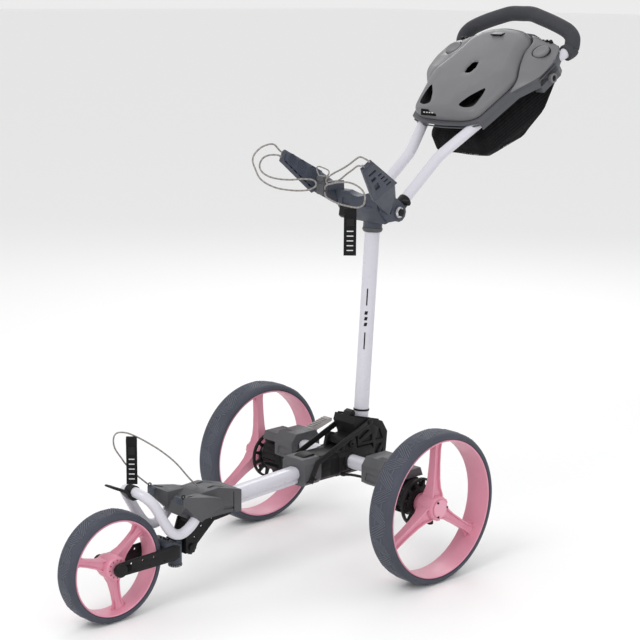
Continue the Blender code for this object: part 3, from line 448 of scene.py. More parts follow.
def moulded(name, colour, rough, grain=0.12, mottle=0.10, scuffs=0.3, shine=0.45):
    """Moulded plastic: fine spark-eroded grain, soft mottling, a few pale scuffs."""
    n = Nodes(name)
    body = n.mixed(n.ranged(n.noise(22.0), 0.0, 1.0), scaled(colour, 1 - mottle),
                   scaled(colour, 1 + mottle))
    stretched = n.add("ShaderNodeMapping")
    stretched.inputs["Scale"].default_value = (1.0, 6.0, 1.0)
    n.link(n.coords.outputs["Object"], stretched.inputs["Vector"])
    marks = n.ranged(n.noise(160.0, 6.0, stretched.outputs["Vector"]), 0.0, scuffs, 0.64, 0.78)
    colour_out = n.mixed(marks, body, scaled(colour, 1.5))
    roughness = n.ranged(n.noise(55.0, 4.0), rough - 0.05, rough + 0.07)
    fine = n.bump(n.noise(1500.0, 2.0), grain, 0.0004)
    n.shader.inputs["Specular IOR Level"].default_value = shine
    return n.dress(colour_out, roughness, fine)


def powder_coat(name, colour):
    """Satin powder coat on aluminium, with a faint orange-peel surface."""
    n = Nodes(name)
    body = n.mixed(n.ranged(n.noise(9.0), 0.0, 1.0), scaled(colour, 0.965), colour)
    specks = n.ranged(n.noise(420.0, 2.0), 0.0, 0.25, 0.70, 0.80)
    colour_out = n.mixed(specks, body, scaled(colour, 0.80))
    roughness = n.ranged(n.noise(60.0, 3.0), 0.26, 0.38)
    peel = n.bump(n.noise(700.0, 2.0), 0.10, 0.0003)
    n.shader.inputs["Coat Weight"].default_value = 0.35
    n.shader.inputs["Coat Roughness"].default_value = 0.18
    return n.dress(colour_out, roughness, peel)


def soft_rubber(name, colour, rough=0.72, cells=0.0):
    """Rubber or foam: a dull bloom, dust in places, and small pores where cells is set."""
    n = Nodes(name)
    body = n.mixed(n.ranged(n.noise(14.0, 5.0), 0.0, 1.0), scaled(colour, 0.88),
                   scaled(colour, 1.10))
    dust = n.ranged(n.noise(70.0, 6.0), 0.0, 0.22, 0.55, 0.75)
    colour_out = n.mixed(dust, body, scaled(colour, 1.45))
    height = n.noise(1300.0, 2.0)
    if cells:
        pores = n.add("ShaderNodeTexVoronoi", Scale=cells)
        n.link(n.coords.outputs["Object"], pores.inputs["Vector"])
        height = n.maths("ADD", n.maths("MULTIPLY", pores.outputs["Distance"], 1.6), height)
    n.shader.inputs["Sheen Weight"].default_value = 0.06
    n.shader.inputs["Specular IOR Level"].default_value = 0.25
    n.shader.inputs["Sheen Roughness"].default_value = 0.5
    return n.dress(colour_out, n.ranged(n.noise(40.0), rough - 0.06, rough + 0.08),
                   n.bump(height, 0.28, 0.0005))


def plated_steel(name):
    """Zinc plate with short turning marks."""
    n = Nodes(name)
    colour = n.mixed(n.ranged(n.noise(90.0, 4.0), 0.0, 1.0), (0.52, 0.52, 0.53),
                     (0.68, 0.68, 0.70))
    n.shader.inputs["Metallic"].default_value = 1.0
    return n.dress(colour, n.ranged(n.noise(200.0), 0.22, 0.40),
                   n.bump(n.noise(1800.0), 0.08, 0.0002))


def band_wave(n, vector, scale, turn):
    """Fine parallel bands on a UV map, turned by an angle."""
    mapping = n.add("ShaderNodeMapping")
    mapping.inputs["Rotation"].default_value = (0.0, 0.0, turn)
    mapping.inputs["Scale"].default_value = scale
    n.link(vector, mapping.inputs["Vector"])
    wave = n.add("ShaderNodeTexWave", Scale=1.0)
    n.link(mapping.outputs["Vector"], wave.inputs["Vector"])
    return wave.outputs["Fac"]


def woven(name, colour, scale, highlight=1.5, turns=(0.0, math.pi / 2), strength=0.6):
    """Yarn on the piece's UV map: two sets of bands that pass over each other, coloured from
    painted shade in the dips up to a painted highlight on the raised bands.
    """
    n = Nodes(name)
    uv = n.coords.outputs["UV"]
    a, b = (band_wave(n, uv, scale, turn) for turn in turns)
    height = n.maths("MAXIMUM", a, b)
    # painted shade and highlight: colour runs from 0.45 of the yarn colour in the dips to the
    # highlight share on the crests
    body = n.mixed(height, scaled(colour, 0.45), scaled(colour, highlight))
    fuzz = n.ranged(n.noise(900.0, 3.0), 0.0, 0.3)
    colour_out = n.mixed(fuzz, body, scaled(colour, 1.2))
    n.shader.inputs["Sheen Weight"].default_value = 0.05
    n.shader.inputs["Specular IOR Level"].default_value = 0.15
    return n.dress(colour_out, n.ranged(n.noise(300.0), 0.7, 0.9),
                   n.bump(height, strength, 0.0004))


WHITE = powder_coat("white_powder_coat", (0.600, 0.592, 0.650))
GREY = moulded("grey_nylon", (0.074, 0.075, 0.081), 0.46, shine=0.35)
SLATE = moulded("slate_nylon", (0.050, 0.057, 0.077), 0.46, shine=0.35)
BLACK = moulded("black_nylon", (0.0095, 0.0095, 0.0105), 0.46, scuffs=0.2, shine=0.20)
# nearly black: painted shade in holes, gaps, grooves and slots, and the colour of a few black
# parts
DARK = moulded("shadow_black_nylon", (0.004, 0.004, 0.0045), 0.6, scuffs=0.0, shine=0.10)
CONSOLE = moulded("console_satin_plastic", (0.150, 0.150, 0.158), 0.34, grain=0.06, mottle=0.04,
                  scuffs=0.12)
SKIRT = moulded("console_side_plastic", (0.078, 0.080, 0.090), 0.40, grain=0.06, mottle=0.04,
                scuffs=0.12, shine=0.35)
PINK = moulded("pink_nylon", (0.690, 0.290, 0.385), 0.36, grain=0.05, mottle=0.035, scuffs=0.1)
PINK_CAP = moulded("pink_cap_nylon", (0.730, 0.345, 0.440), 0.34, grain=0.05, mottle=0.03,
                   scuffs=0.1)
TYRE = soft_rubber("slate_tyre_rubber", (0.058, 0.063, 0.083), 0.66)
# a lighter copy of the tyre rubber: painted highlight on the raised tread lines
TREAD = soft_rubber("tread_line_lit_rubber", (0.118, 0.126, 0.155), 0.50)
FOAM = soft_rubber("grip_foam_rubber", (0.046, 0.047, 0.054), 0.82, cells=1500.0)
PAD = soft_rubber("pad_soft_rubber", (0.046, 0.055, 0.078), 0.62)
STRAP = soft_rubber("strap_black_rubber", (0.007, 0.007, 0.008), 0.5)
STEEL = plated_steel("zinc_plated_steel")
CORD = woven("braided_cord_sleeve", (0.250, 0.232, 0.222), (9.0, 700.0, 1.0),
             turns=(math.radians(1.2), math.radians(-1.2)))
WEBBING = woven("black_webbing", (0.009, 0.009, 0.010), (60.0, 900.0, 1.0))
# net yarn: a strong painted highlight on the crests stands in for glints of light
NET = woven("black_net_yarn", (0.020, 0.020, 0.023), (20.0, 900.0, 1.0), highlight=2.0)
# nearly black cloth: painted shade standing in for the shaded inside of the net pouch
POUCH_SHADE = woven("pouch_shade_backing_cloth", (0.0035, 0.0032, 0.004), (220.0, 220.0, 1.0), highlight=1.8)
PEDAL = moulded("pedal_warm_grey", (0.30, 0.28, 0.27), 0.48)
# deep red: painted shade inside the pink front hub's slots
HUB_SLOT_SHADE = moulded("hub_slot_shade_red", (0.50, 0.030, 0.035), 0.55, scuffs=0.0)
PRINT_WHITE = moulded("print_white", (0.62, 0.62, 0.62), 0.55, scuffs=0.0)


# ---------------------------------------------------------------- geometry node trees
def node_tree(name, sockets):
    """A Geometry Nodes tree with named inputs, and its nodes' short hands."""
    tree = bpy.data.node_groups.new(name, "GeometryNodeTree")
    tree.interface.new_socket("Geometry", in_out="INPUT", socket_type="NodeSocketGeometry")
    for label, kind in sockets:
        tree.interface.new_socket(label, in_out="INPUT", socket_type=f"NodeSocket{kind}")
    tree.interface.new_socket("Geometry", in_out="OUTPUT", socket_type="NodeSocketGeometry")
    return tree, tree.nodes.new("NodeGroupInput"), tree.nodes.new("NodeGroupOutput")


def close_tree(tree, geometry, source, target):
    """Every tree ends in Realize Instances and Set Material."""
    realize = tree.nodes.new("GeometryNodeRealizeInstances")
    dress = tree.nodes.new("GeometryNodeSetMaterial")
    tree.links.new(geometry, realize.inputs["Geometry"])
    tree.links.new(realize.outputs[0], dress.inputs["Geometry"])
    tree.links.new(source.outputs["Finish"], dress.inputs["Material"])
    tree.links.new(dress.outputs[0], target.inputs["Geometry"])


def turned_copies_tree():
    """Copies of a small shape, evenly turned round an axis through a centre."""
    tree, source, target = node_tree("turned_copies", (
        ("Count", "Int"), ("Centre", "Vector"), ("Axis", "Vector"), ("Step", "Float"),
        ("Finish", "Material")))
    add, link = tree.nodes.new, tree.links.new
    line = add("GeometryNodePoints")
    index = add("GeometryNodeInputIndex")
    angle = add("ShaderNodeMath")
    angle.operation = "MULTIPLY"
    turn = add("FunctionNodeAxisAngleToRotation")
    copies = add("GeometryNodeInstanceOnPoints")
    link(source.outputs["Count"], line.inputs["Count"])
    link(source.outputs["Centre"], line.inputs["Position"])
    link(index.outputs[0], angle.inputs[0])
    link(source.outputs["Step"], angle.inputs[1])
    link(source.outputs["Axis"], turn.inputs["Axis"])
    link(angle.outputs[0], turn.inputs["Angle"])
    link(line.outputs[0], copies.inputs["Points"])
    link(source.outputs["Geometry"], copies.inputs["Instance"])
    link(turn.outputs[0], copies.inputs["Rotation"])
    close_tree(tree, copies.outputs[0], source, target)
    return tree


def row_copies_tree():
    """Copies of a small shape along a straight row."""
    tree, source, target = node_tree("row_copies", (
        ("Count", "Int"), ("Start", "Vector"), ("Stride", "Vector"), ("Finish", "Material")))
    add, link = tree.nodes.new, tree.links.new
    line = add("GeometryNodeMeshLine")
    copies = add("GeometryNodeInstanceOnPoints")
    link(source.outputs["Count"], line.inputs["Count"])
    link(source.outputs["Start"], line.inputs["Start Location"])
    link(source.outputs["Stride"], line.inputs["Offset"])
    link(line.outputs[0], copies.inputs["Points"])
    link(source.outputs["Geometry"], copies.inputs["Instance"])
    close_tree(tree, copies.outputs[0], source, target)
    return tree


def strands_tree():
    """A thin round yarn along every edge of a mesh."""
    tree, source, target = node_tree("strands", (
        ("Radius", "Float"), ("Sides", "Int"), ("Finish", "Material")))
    add, link = tree.nodes.new, tree.links.new
    lines = add("GeometryNodeMeshToCurve")
    profile = add("GeometryNodeCurvePrimitiveCircle")
    yarn = add("GeometryNodeCurveToMesh")
    link(source.outputs["Geometry"], lines.inputs["Mesh"])
    link(source.outputs["Radius"], profile.inputs["Radius"])
    link(source.outputs["Sides"], profile.inputs["Resolution"])
    link(lines.outputs[0], yarn.inputs["Curve"])
    link(profile.outputs[0], yarn.inputs["Profile Curve"])
    close_tree(tree, yarn.outputs[0], source, target)
    return tree


TURNED_COPIES = turned_copies_tree()
ROW_COPIES = row_copies_tree()
STRANDS = strands_tree()


def grown(name, motif, tree, finish, body, stands_for=(), smooth=35, slot=None, **inputs):
    """A piece from a tree: its inputs are set by identifier, then it is made a plain mesh."""
    obj = bpy.data.objects.new("grower", motif)
    bpy.context.collection.objects.link(obj)
    modifier = obj.modifiers.new("grow", "NODES")
    modifier.node_group = tree
    known = {s.name: s.identifier for s in tree.interface.items_tree if s.in_out == "INPUT"}
    for label, value in inputs.items():
        modifier[known[label]] = tuple(value) if isinstance(value, Vector) else value
    modifier[known["Finish"]] = finish
    bpy.context.view_layer.update()
    graph = bpy.context.evaluated_depsgraph_get()
    mesh = bpy.data.meshes.new_from_object(obj.evaluated_get(graph))
    bpy.data.objects.remove(obj, do_unlink=True)
    return piece(name, mesh, finish, body, stands_for, smooth=smooth, slot=slot)


def round_copies(name, motif, centre, axis, count, finish, body, first=0.0, **more):
    """Copies turned round an axis; the shape is given about the origin."""
    motif.transform(Matrix.Rotation(first, 4, axis))
    return grown(name, motif, TURNED_COPIES, finish, body, Count=count, Centre=centre,
                 Axis=axis, Step=2 * math.pi / count, **more)


# ---------------------------------------------------------------- cords
ARM_LOW = Vector((0.079, -0.0070, 0.717))        # bag arm, inner face corners
ARM_HIGH = Vector((0.100, 0.0340, 0.752))
ARM_TIP_HIGH = Vector((0.118, -0.0510, 0.799))
ARM_TIP_LOW = Vector((0.120, -0.0680, 0.776))
ARM_OUT = (ARM_HIGH - ARM_LOW).cross(ARM_TIP_HIGH - ARM_LOW).normalized()
if ARM_OUT.x < 0:
    ARM_OUT = -ARM_OUT
ARM_TIP_LOW -= ARM_OUT * ARM_OUT.dot(ARM_TIP_LOW - ARM_LOW)
ARM_THICK = 0.009
ARM_END = ((ARM_TIP_HIGH + ARM_TIP_LOW) - (ARM_HIGH + ARM_LOW)).normalized()


def tip_exit(side, share, reach=0.0006):
    """Where a cord leaves the end face of a bag arm, or a little further out."""
    point = ARM_TIP_HIGH.lerp(ARM_TIP_LOW, share) + ARM_OUT * 0.5 * ARM_THICK
    return at(*flip(point + ARM_END * reach, side))


FAR_ROUTE = [tip_exit(-1, 0.25), tip_exit(-1, 0.25, 0.008),
             at(-0.122, -0.078, 0.8105), at(-0.127, -0.100, 0.807),
             at(-0.132, -0.116, 0.794), at(-0.133, -0.121, 0.780), at(-0.126, -0.120, 0.764),
             at(-0.120, -0.115, 0.748), at(-0.110, -0.106, 0.737), at(-0.095, -0.092, 0.7285),
             at(-0.082, -0.074, 0.7245), at(-0.073, -0.054, 0.7225),
             at(-0.0625, -0.036, 0.7240), at(-0.0560, -0.0245, 0.7320),
             at(-0.0585, -0.0280, 0.7420), at(-0.068, -0.046, 0.7450),
             at(-0.082, -0.068, 0.7440), at(-0.097, -0.086, 0.7455),
             at(-0.114, -0.097, 0.7500), at(-0.129, -0.1015, 0.7585),
             at(-0.1355, -0.1010, 0.7700), at(-0.134, -0.094, 0.7830),
             at(-0.128, -0.0820, 0.7890), tip_exit(-1, 0.75, 0.008), tip_exit(-1, 0.75)]
NEAR_ROUTE = [tip_exit(1, 0.20), tip_exit(1, 0.20, 0.007),
              at(0.110, -0.0680, 0.8040), at(0.082, -0.0540, 0.7960),
              at(0.051, -0.038, 0.7840), at(0.020, -0.026, 0.7720),
              at(-0.012, -0.0175, 0.7600), at(-0.036, -0.0115, 0.7490),
              at(-0.0440, -0.0090, 0.7400), at(-0.0360, -0.0095, 0.7350),
              at(-0.016, -0.0140, 0.7400), at(0.008, -0.0200, 0.7500),
              at(0.031, -0.027, 0.7620), at(0.056, -0.036, 0.7730),
              at(0.079, -0.048, 0.7820), at(0.100, -0.0610, 0.7865),
              at(0.1140, -0.0720, 0.7875), tip_exit(1, 0.72, 0.007), tip_exit(1, 0.72)]
TAB_ROUTE = [at(-0.0450, -0.0110, 0.7250), at(-0.032, -0.0210, 0.7330),
             at(-0.014, -0.0265, 0.7395), at(0.008, -0.031, 0.7440),
             at(0.030, -0.038, 0.7475), at(0.055, -0.045, 0.7500),
             at(0.079, -0.050, 0.7480), at(0.098, -0.053, 0.7420),
             at(0.109, -0.055, 0.7330), at(0.110, -0.055, 0.7230),
             at(0.103, -0.052, 0.7125), at(0.087, -0.050, 0.7060),
             at(0.066, -0.047, 0.7045), at(0.042, -0.044, 0.7050),
             at(0.020, -0.040, 0.7065), at(-0.003, -0.034, 0.7090),
             at(-0.026, -0.0250, 0.7125), at(-0.0450, -0.0110, 0.7175)]
FRONT_ROUTE = [at(0.0, -0.3700, 0.2070), at(-0.002, -0.386, 0.223), at(-0.008, -0.414, 0.258),
               at(-0.015, -0.440, 0.283), at(-0.022, -0.466, 0.303), at(-0.028, -0.486, 0.3165),
               at(-0.034, -0.505, 0.3265), at(-0.040, -0.521, 0.328), at(-0.043, -0.527, 0.318),
               at(-0.045, -0.523, 0.299), at(-0.047, -0.506, 0.275), at(-0.048, -0.496, 0.262),
               at(-0.049, -0.472, 0.237), at(-0.0495, -0.4470, 0.2150)]


def make_cord(name, route, radius, body):
    """An elastic cord in a braided sleeve, both of whose ends go back into the trolley."""
    path = smooth_path(route, 6)
    obj = piece(name + "_braid", tube(path, radius, 12), CORD, body, [name], smooth=60)
    return obj


def pull_tab(name, x, y, z0, z1, width, body):
    """A folded webbing tab: stitched body, a loop for its cord, a woven patch and bars."""
    turn = math.radians(46.6)
    across = Vector((math.cos(turn), math.sin(turn), 0.0))
    through = Vector((-math.sin(turn), math.cos(turn), 0.0))
    up = Vector((0.0, 0.0, 1.0))
    rings = []
    lengths = []
    for i in range(25):
        t = i / 24
        z = z0 + (z1 - z0) * t
        bow = through * 0.0008 * math.sin(3.0 * t)
        half = width / 2 * (1.0 if t < 0.94 else 1.0 - 0.9 * (t - 0.94))
        thick = 0.0012 + (0.0012 if t > 0.86 else 0.0)
        section = rounded_outline([(half, thick), (-half, thick), (-half, -thick),
                                   (half, -thick)], 0.0009, 3)
        rings.append([at(x, y, z) + bow + across * a + through * b for a, b in section])
        lengths.append(z - z0)
    tab = piece(f"{name}_webbing", loft(rings, lengths=lengths), WEBBING, body, [name],
                smooth=50)
    front = -through
    face = front * 0.0014
    height = z1 - z0
    made = [tab]
    middle = at(x, y, z1) - up * 0.30 * height
    patch = slab(middle + face, across, up, front, (width * 0.60, 0.0145, 0.0007))
    made.append(piece(f"{name}_patch", patch, STRAP, body))
    bars = []
    for i in range(5):
        centre = at(x, y, z0) + up * (0.010 + 0.0092 * i) + face
        bars.append(slab(centre, across, across.cross(front), front,
                         (width * 0.52, 0.0019, 0.0007)))
    made.append(piece(f"{name}_bars", gathered(*bars), PRINT_WHITE, body))
    stitch = slab(Vector(), up, across, front, (0.0026, 0.0006, 0.0006))
    count = int(height * 0.86 / 0.0042)
    for name_end, shift in (("left", -1), ("right", 1)):
        start = at(x, y, z0 + 0.003) + across * shift * (width / 2 - 0.0022) + face * 0.85
        made.append(grown(f"{name}_stitches_{name_end}", stitch.copy(), ROW_COPIES, STRAP, body,
                          Count=count, Start=start, Stride=up * 0.0042))
    return made


make_cord("far_cord", FAR_ROUTE, CORD_R, "mast")
make_cord("near_cord", NEAR_ROUTE, CORD_R, "mast")
pull_tab("upper_pull_tab", 0.062, -0.0455, 0.6110, 0.7020, 0.024, "mast")
make_cord("tab_cord", TAB_ROUTE, CORD_R, "mast")
front_tab = pull_tab("front_pull_tab", -0.031, -0.4965, 0.2300, 0.3185, 0.020, "frame")
front_cord = make_cord("front_cord", FRONT_ROUTE, FRONT_CORD_R, "frame")
CORD_FOOT_Z = 0.207
TAB_FOOT_Z = 0.230
for front_piece, foot in [(front_cord, CORD_FOOT_Z), *((p, TAB_FOOT_Z) for p in front_tab)]:
    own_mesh(front_piece)


# ---------------------------------------------------------------- wheels
def crown(x, half, radius):
    """The tyre's radius across its width: nearly flat, then a round shoulder."""
    t = min(1.0, abs(x) / half)
    shoulder = max(0.0, (t - 0.62) / 0.38)
    return radius - 0.0006 * t * t - 0.0092 * (1 - math.sqrt(1 - 0.985 * shoulder ** 2))


def tyre_mesh(centre, radius, half, bead, side):
    top = []
    for i in range(25):
        t = -1 + 2 * i / 24
        x = half * math.sin(t * math.pi / 2) * 0.985
        top.append((x, crown(x, half, radius)))
    right = [(half - 0.0002, radius - 0.0112), (half - 0.0011, radius - 0.0118),
             (half - 0.0009, bead + 0.0022), (half - 0.0024, bead + 0.0003),
             (half - 0.0060, bead - 0.0001)]
    left = [(-x, r) for x, r in reversed(right)]
    return turned_ring(centre, left + top + right, side, 112)


def ribbon(points, width, half, radius, centre, lift=0.00085):
    """A raised line on the tread, from (distance round the tyre, distance across) points."""
    rings = []
    dense = []
    for a, b in zip(points, points[1:]):
        steps = max(2, int((Vector(b) - Vector(a)).length / 0.004))
        dense += [Vector(a).lerp(Vector(b), i / steps) for i in range(steps)]
    dense.append(Vector(points[-1]))
    for i, p in enumerate(dense):
        run = (dense[min(i + 1, len(dense) - 1)] - dense[max(i - 1, 0)]).normalized()
        cross = Vector((-run.y, run.x))
        ring = []
        for shift, height in ((-0.5, -0.0008), (-0.3, lift), (0.3, lift), (0.5, -0.0008)):
            place = p + cross * width * shift
            angle = place.x / radius
            r = crown(place.y, half, radius) + height
            ring.append(centre + Vector((place.y, r * math.cos(angle), r * math.sin(angle))))
        rings.append(ring)
    return loft(rings)


def tread_motif(radius, half, pitch):
    """Nested triangles that point to one edge and then to the other."""
    reach = 0.70 * half
    lines = []
    for start, way in ((0.0, 1), (pitch / 2, -1)):
        for k in range(3):
            inset = 0.0046 * k
            foot = pitch * 0.46 - 1.75 * inset
            tip = reach * way - way * inset * 1.1
            base = -reach * way + way * inset * 0.55
            lines.append([(start - foot * 0.92, base), (start, tip), (start + foot * 0.92, base)])
        lines.append([(start - 0.006, -reach * way * 0.30), (start + 0.006, -reach * way * 0.30)])
    return gathered(*[ribbon(line, 0.0017, half, radius, Vector()) for line in lines])


def spoke_mesh(centre, side, angle, stations, rib=0.0026):
    """A channel-section spoke, from (radius, half width, back x, front x, depth) stations."""
    out = Vector((0.0, math.cos(angle), math.sin(angle)))
    across = Vector((0.0, -math.sin(angle), math.cos(angle)))
    rings = []
    for r, w, back, front, depth in stations:
        section = [(-w, back), (w, back), (w, front - 0.0006), (w - 0.0006, front),
                   (w - rib, front), (w - rib - 0.0008, front - depth),
                   (-w + rib + 0.0008, front - depth), (-w + rib, front),
                   (-w + 0.0006, front), (-w, front - 0.0006)]
        rings.append([centre + out * r + across * a + Vector((side * x, 0, 0))
                      for a, x in section])
    return loft(rings)


def gusset(centre, side, angle, foot_r, rim_r, start_w, reach, x0, x1):
    """A thin triangular fin between a spoke's side and the rim."""
    shapes = []
    for way in (-1, 1):
        corners = []
        for r, w in ((foot_r, start_w), (rim_r, start_w), (rim_r - 0.0012, start_w + reach)):
            out = Vector((0.0, math.cos(angle), math.sin(angle)))
            across = Vector((0.0, -math.sin(angle), math.cos(angle)))
            corners.append(centre + out * r + across * way * w)
        shapes.append(loft([[p + Vector((side * x, 0, 0)) for p in corners]
                            for x in (x0, x1)]))
    return gathered(*shapes)


def rim_mesh(centre, side, outer, half, wall, hub, spokes, first):
    """Deep ring with a rolled lip, a flanged hub and three channel spokes."""
    lip = 0.0021
    ring = turned_ring(centre, [
        (-half, outer), (half - 0.0008, outer), (half, outer - 0.0008),
        (half, outer - lip), (half - 0.0007, outer - lip - 0.0009),
        (half - 0.0022, outer - 0.0030), (0.25 * half, outer - wall),
        (-0.2 * half, outer - wall - 0.0002), (-half + 0.0030, outer - 0.0034),
        (-half + 0.0004, outer - lip - 0.0006), (-half, outer - lip)], side, 112)
    back, front, hub_r, bore = hub
    middle = turned_ring(centre, [
        (back, bore), (back, 0.80 * hub_r), (back + 0.0012, 0.84 * hub_r),
        (back + 0.011, 0.90 * hub_r), (back + 0.0125, hub_r), (0.2 * front, 1.03 * hub_r),
        (front - 0.004, hub_r), (front - 0.0012, 0.95 * hub_r), (front, 0.90 * hub_r),
        (front, bore)], side, 56)
    shapes = [ring, middle]
    for i in range(3):
        angle = first + i * 2 * math.pi / 3
        shapes.append(spoke_mesh(centre, side, angle, spokes))
        r_end = outer - 0.0025
        shapes.append(gusset(centre, side, angle, r_end - 0.020, r_end, spokes[-2][1] - 0.001,
                             0.011, -0.0012, 0.0012))
    return gathered(*shapes)


REAR_SPOKE = [(0.014, 0.0150, -0.0135, 0.0145, 0.0030), (0.026, 0.0142, -0.0120, 0.0130, 0.0042),
              (0.037, 0.0108, -0.0100, 0.0110, 0.0052), (0.055, 0.0090, -0.0082, 0.0092, 0.0050),
              (0.085, 0.0080, -0.0072, 0.0080, 0.0044), (0.112, 0.0078, -0.0070, 0.0078, 0.0040),
              (0.1235, 0.0088, -0.0072, 0.0082, 0.0030), (0.1305, 0.0115, -0.0085, 0.0095, 0.0018)]
FRONT_SPOKE = [(0.012, 0.0125, -0.0125, 0.0125, 0.0026), (0.023, 0.0110, -0.0100, 0.0100, 0.0034),
               (0.034, 0.0082, -0.0080, 0.0080, 0.0036), (0.055, 0.0070, -0.0066, 0.0066, 0.0032),
               (0.072, 0.0072, -0.0064, 0.0064, 0.0028), (0.080, 0.0086, -0.0068, 0.0068, 0.0022),
               (0.0850, 0.0110, -0.0075, 0.0075, 0.0014)]
X_AXIS = Vector((1.0, 0.0, 0.0))


def wheel_looks(body, tyre_node, rim_node, centre, side, sizes, hub, spokes, first, count):
    radius, half, bead = sizes
    piece(tyre_node + "_carcass", tyre_mesh(centre, radius, half, bead, side), TYRE, body,
          [tyre_node], smooth=50)
    motif = tread_motif(radius, half, 2 * math.pi * radius / count)
    round_copies(tyre_node + "_tread_lines", motif, centre, X_AXIS, count, TREAD, body,
                 slot="tyre")
    piece(rim_node + "_shell", rim_mesh(centre, side, bead - 0.0003, half - 0.0015, 0.0052, hub,
                                        spokes, first), PINK, body, [rim_node], smooth=38)


def rear_wheel_looks(name, side, first):
    centre = at(side * TRACK_X, 0.0, REAR_R)
    wheel_looks(name, f"{name}_tyre", f"{name}_rim", centre, side,
                (REAR_R, REAR_HALF_WIDTH, REAR_BEAD_R), (-0.0302, 0.0192, 0.0240, 0.0066),
                REAR_SPOKE, first, 14)
    out = X_AXIS * side
    cap = [(0.0196, 0.0175), (0.0212, 0.0178), (0.0228, 0.0172), (0.0240, 0.0150),
           (0.0246, 0.0090), (0.0247, 0.0005)]
    piece(f"{name}_cap_disc", turned(centre, out, cap, 48), PINK_CAP, name,
          [f"{name}_hub_cap"], smooth=30)
    # painted shade: nearly black plugs stand in for the shade inside the cap's three holes
    hole = turned(Vector((side * 0.0225, 0.0, 0.0162)), out, [(0.0, 0.0021), (0.0021, 0.0021)], 14)
    round_copies(f"{name}_cap_hole_shade", hole, centre, X_AXIS, 3, DARK, name,
                 first=side * math.radians(33), slot="black_plastic")
    rib = slab(Vector((side * 0.0162, 0.0, 0.0205)), X_AXIS, Vector((0, 1, 0)),
               Vector((0, 0, 1)), (0.0052, 0.0080, 0.0066))
    round_copies(f"{name}_hub_blocks", rib, centre, X_AXIS, 3, PINK, name,
                 first=first + math.radians(-30), slot="pink_plastic")
    lever = turned(centre + Vector((side * -0.004, 0.0, -0.0225)), Vector((0, 0, -1)),
                   [(0.0, 0.0042), (0.0070, 0.0042), (0.0075, 0.0060), (0.0128, 0.0060),
                    (0.0136, 0.0050)], 20)
    piece(f"{name}_release_button", lever, BLACK, name, slot="black_plastic")
    star = node_mesh(f"{name}_brake_star")
    piece(f"{name}_brake_notches", star, BLACK, name, [f"{name}_brake_star"], bevel=0.0005)
    drum = turned_ring(centre, [(-0.0368, 0.0435), (-0.0368, 0.0480), (-0.0306, 0.0480),
                                (-0.0306, 0.0435)], side, 72)
    piece(f"{name}_brake_drum", drum, BLACK, name, slot="black_plastic", bevel=0.0006)


def front_wheel_looks():
    y, z = FRONT_HUB
    centre = at(0.0, y, z)
    wheel_looks("front_wheel", "front_tyre", "front_rim", centre, 1,
                (FRONT_R, FRONT_HALF_WIDTH, FRONT_BEAD_R), (-0.0213, 0.0213, 0.0220, 0.0056),
                FRONT_SPOKE, math.radians(41), 11)
    # painted shade: deep red blocks stand in for the shade inside the pink hub's slots
    slot = slab(Vector((0.0206, 0.0, 0.0160)), X_AXIS, Vector((0, 1, 0)), Vector((0, 0, 1)),
                (0.0020, 0.0022, 0.0034))
    both = gathered(slot, slab(Vector((-0.0206, 0.0, 0.0160)), X_AXIS, Vector((0, 1, 0)),
                               Vector((0, 0, 1)), (0.0020, 0.0022, 0.0034)))
    round_copies("front_hub_slots", both, centre, X_AXIS, 12, HUB_SLOT_SHADE, "front_wheel",
                 slot="pink_plastic")


rear_wheel_looks("right_wheel", 1, math.radians(87))
rear_wheel_looks("left_wheel", -1, math.radians(93))
front_wheel_looks()


# ---------------------------------------------------------------- lower frame
MAIN_HALF = [(0.0, 0.0168), (0.009, 0.0160), (0.0148, 0.0115), (0.0168, 0.0045),
             (0.0155, -0.0020), (0.0118, -0.0058), (0.0126, -0.0088), (0.0112, -0.0138),
             (0.0060, -0.0166), (0.0, -0.0168)]


def tube_line(y):
    """Height of the main tube's middle line; it climbs slightly to the rear."""
    return 0.1688 + (y + 0.287) * 0.060


def main_tube_mesh():
    outer = smooth_outline(mirrored(MAIN_HALF), 3)
    inner = [(x * 0.87, h * 0.87) for x, h in outer]
    rings = []
    for outline, order in ((outer, 1), (inner, -1)):
        walls = [[at(x, y, tube_line(y) + h) for x, h in outline] for y in (-0.2985, -0.104)]
        rings += walls[::order]
    return loft(rings, closed=True)


def bag_loop_path():
    half = [at(0.040, -0.402, 0.170), at(0.040, -0.414, 0.155), at(0.040, -0.430, 0.144),
            at(0.040, -0.446, 0.141), at(0.040, -0.463, 0.149), at(0.040, -0.480, 0.172),
            at(0.040, -0.4965, 0.2000), at(0.0365, -0.5065, 0.2150), at(0.027, -0.5145, 0.2240),
            at(0.013, -0.5185, 0.2280), at(0.0, -0.5195, 0.2290)]
    return smooth_path(mirror_path(half), 5)


def socket_screw(centre, axis, radius, height, finish, name, body):
    """A round screw head with a hexagon socket."""
    head = turned(centre, axis, [(0.0, radius), (0.72 * height, radius),
                                 (0.93 * height, 0.90 * radius), (height, 0.80 * radius)], 28)
    socket = turned(centre + axis * 0.45 * height, axis,
                    [(0.0, 0.45 * radius), (height, 0.45 * radius)], 6)
    return piece(name, cut(head, socket), finish, body, slot="steel", smooth=30)


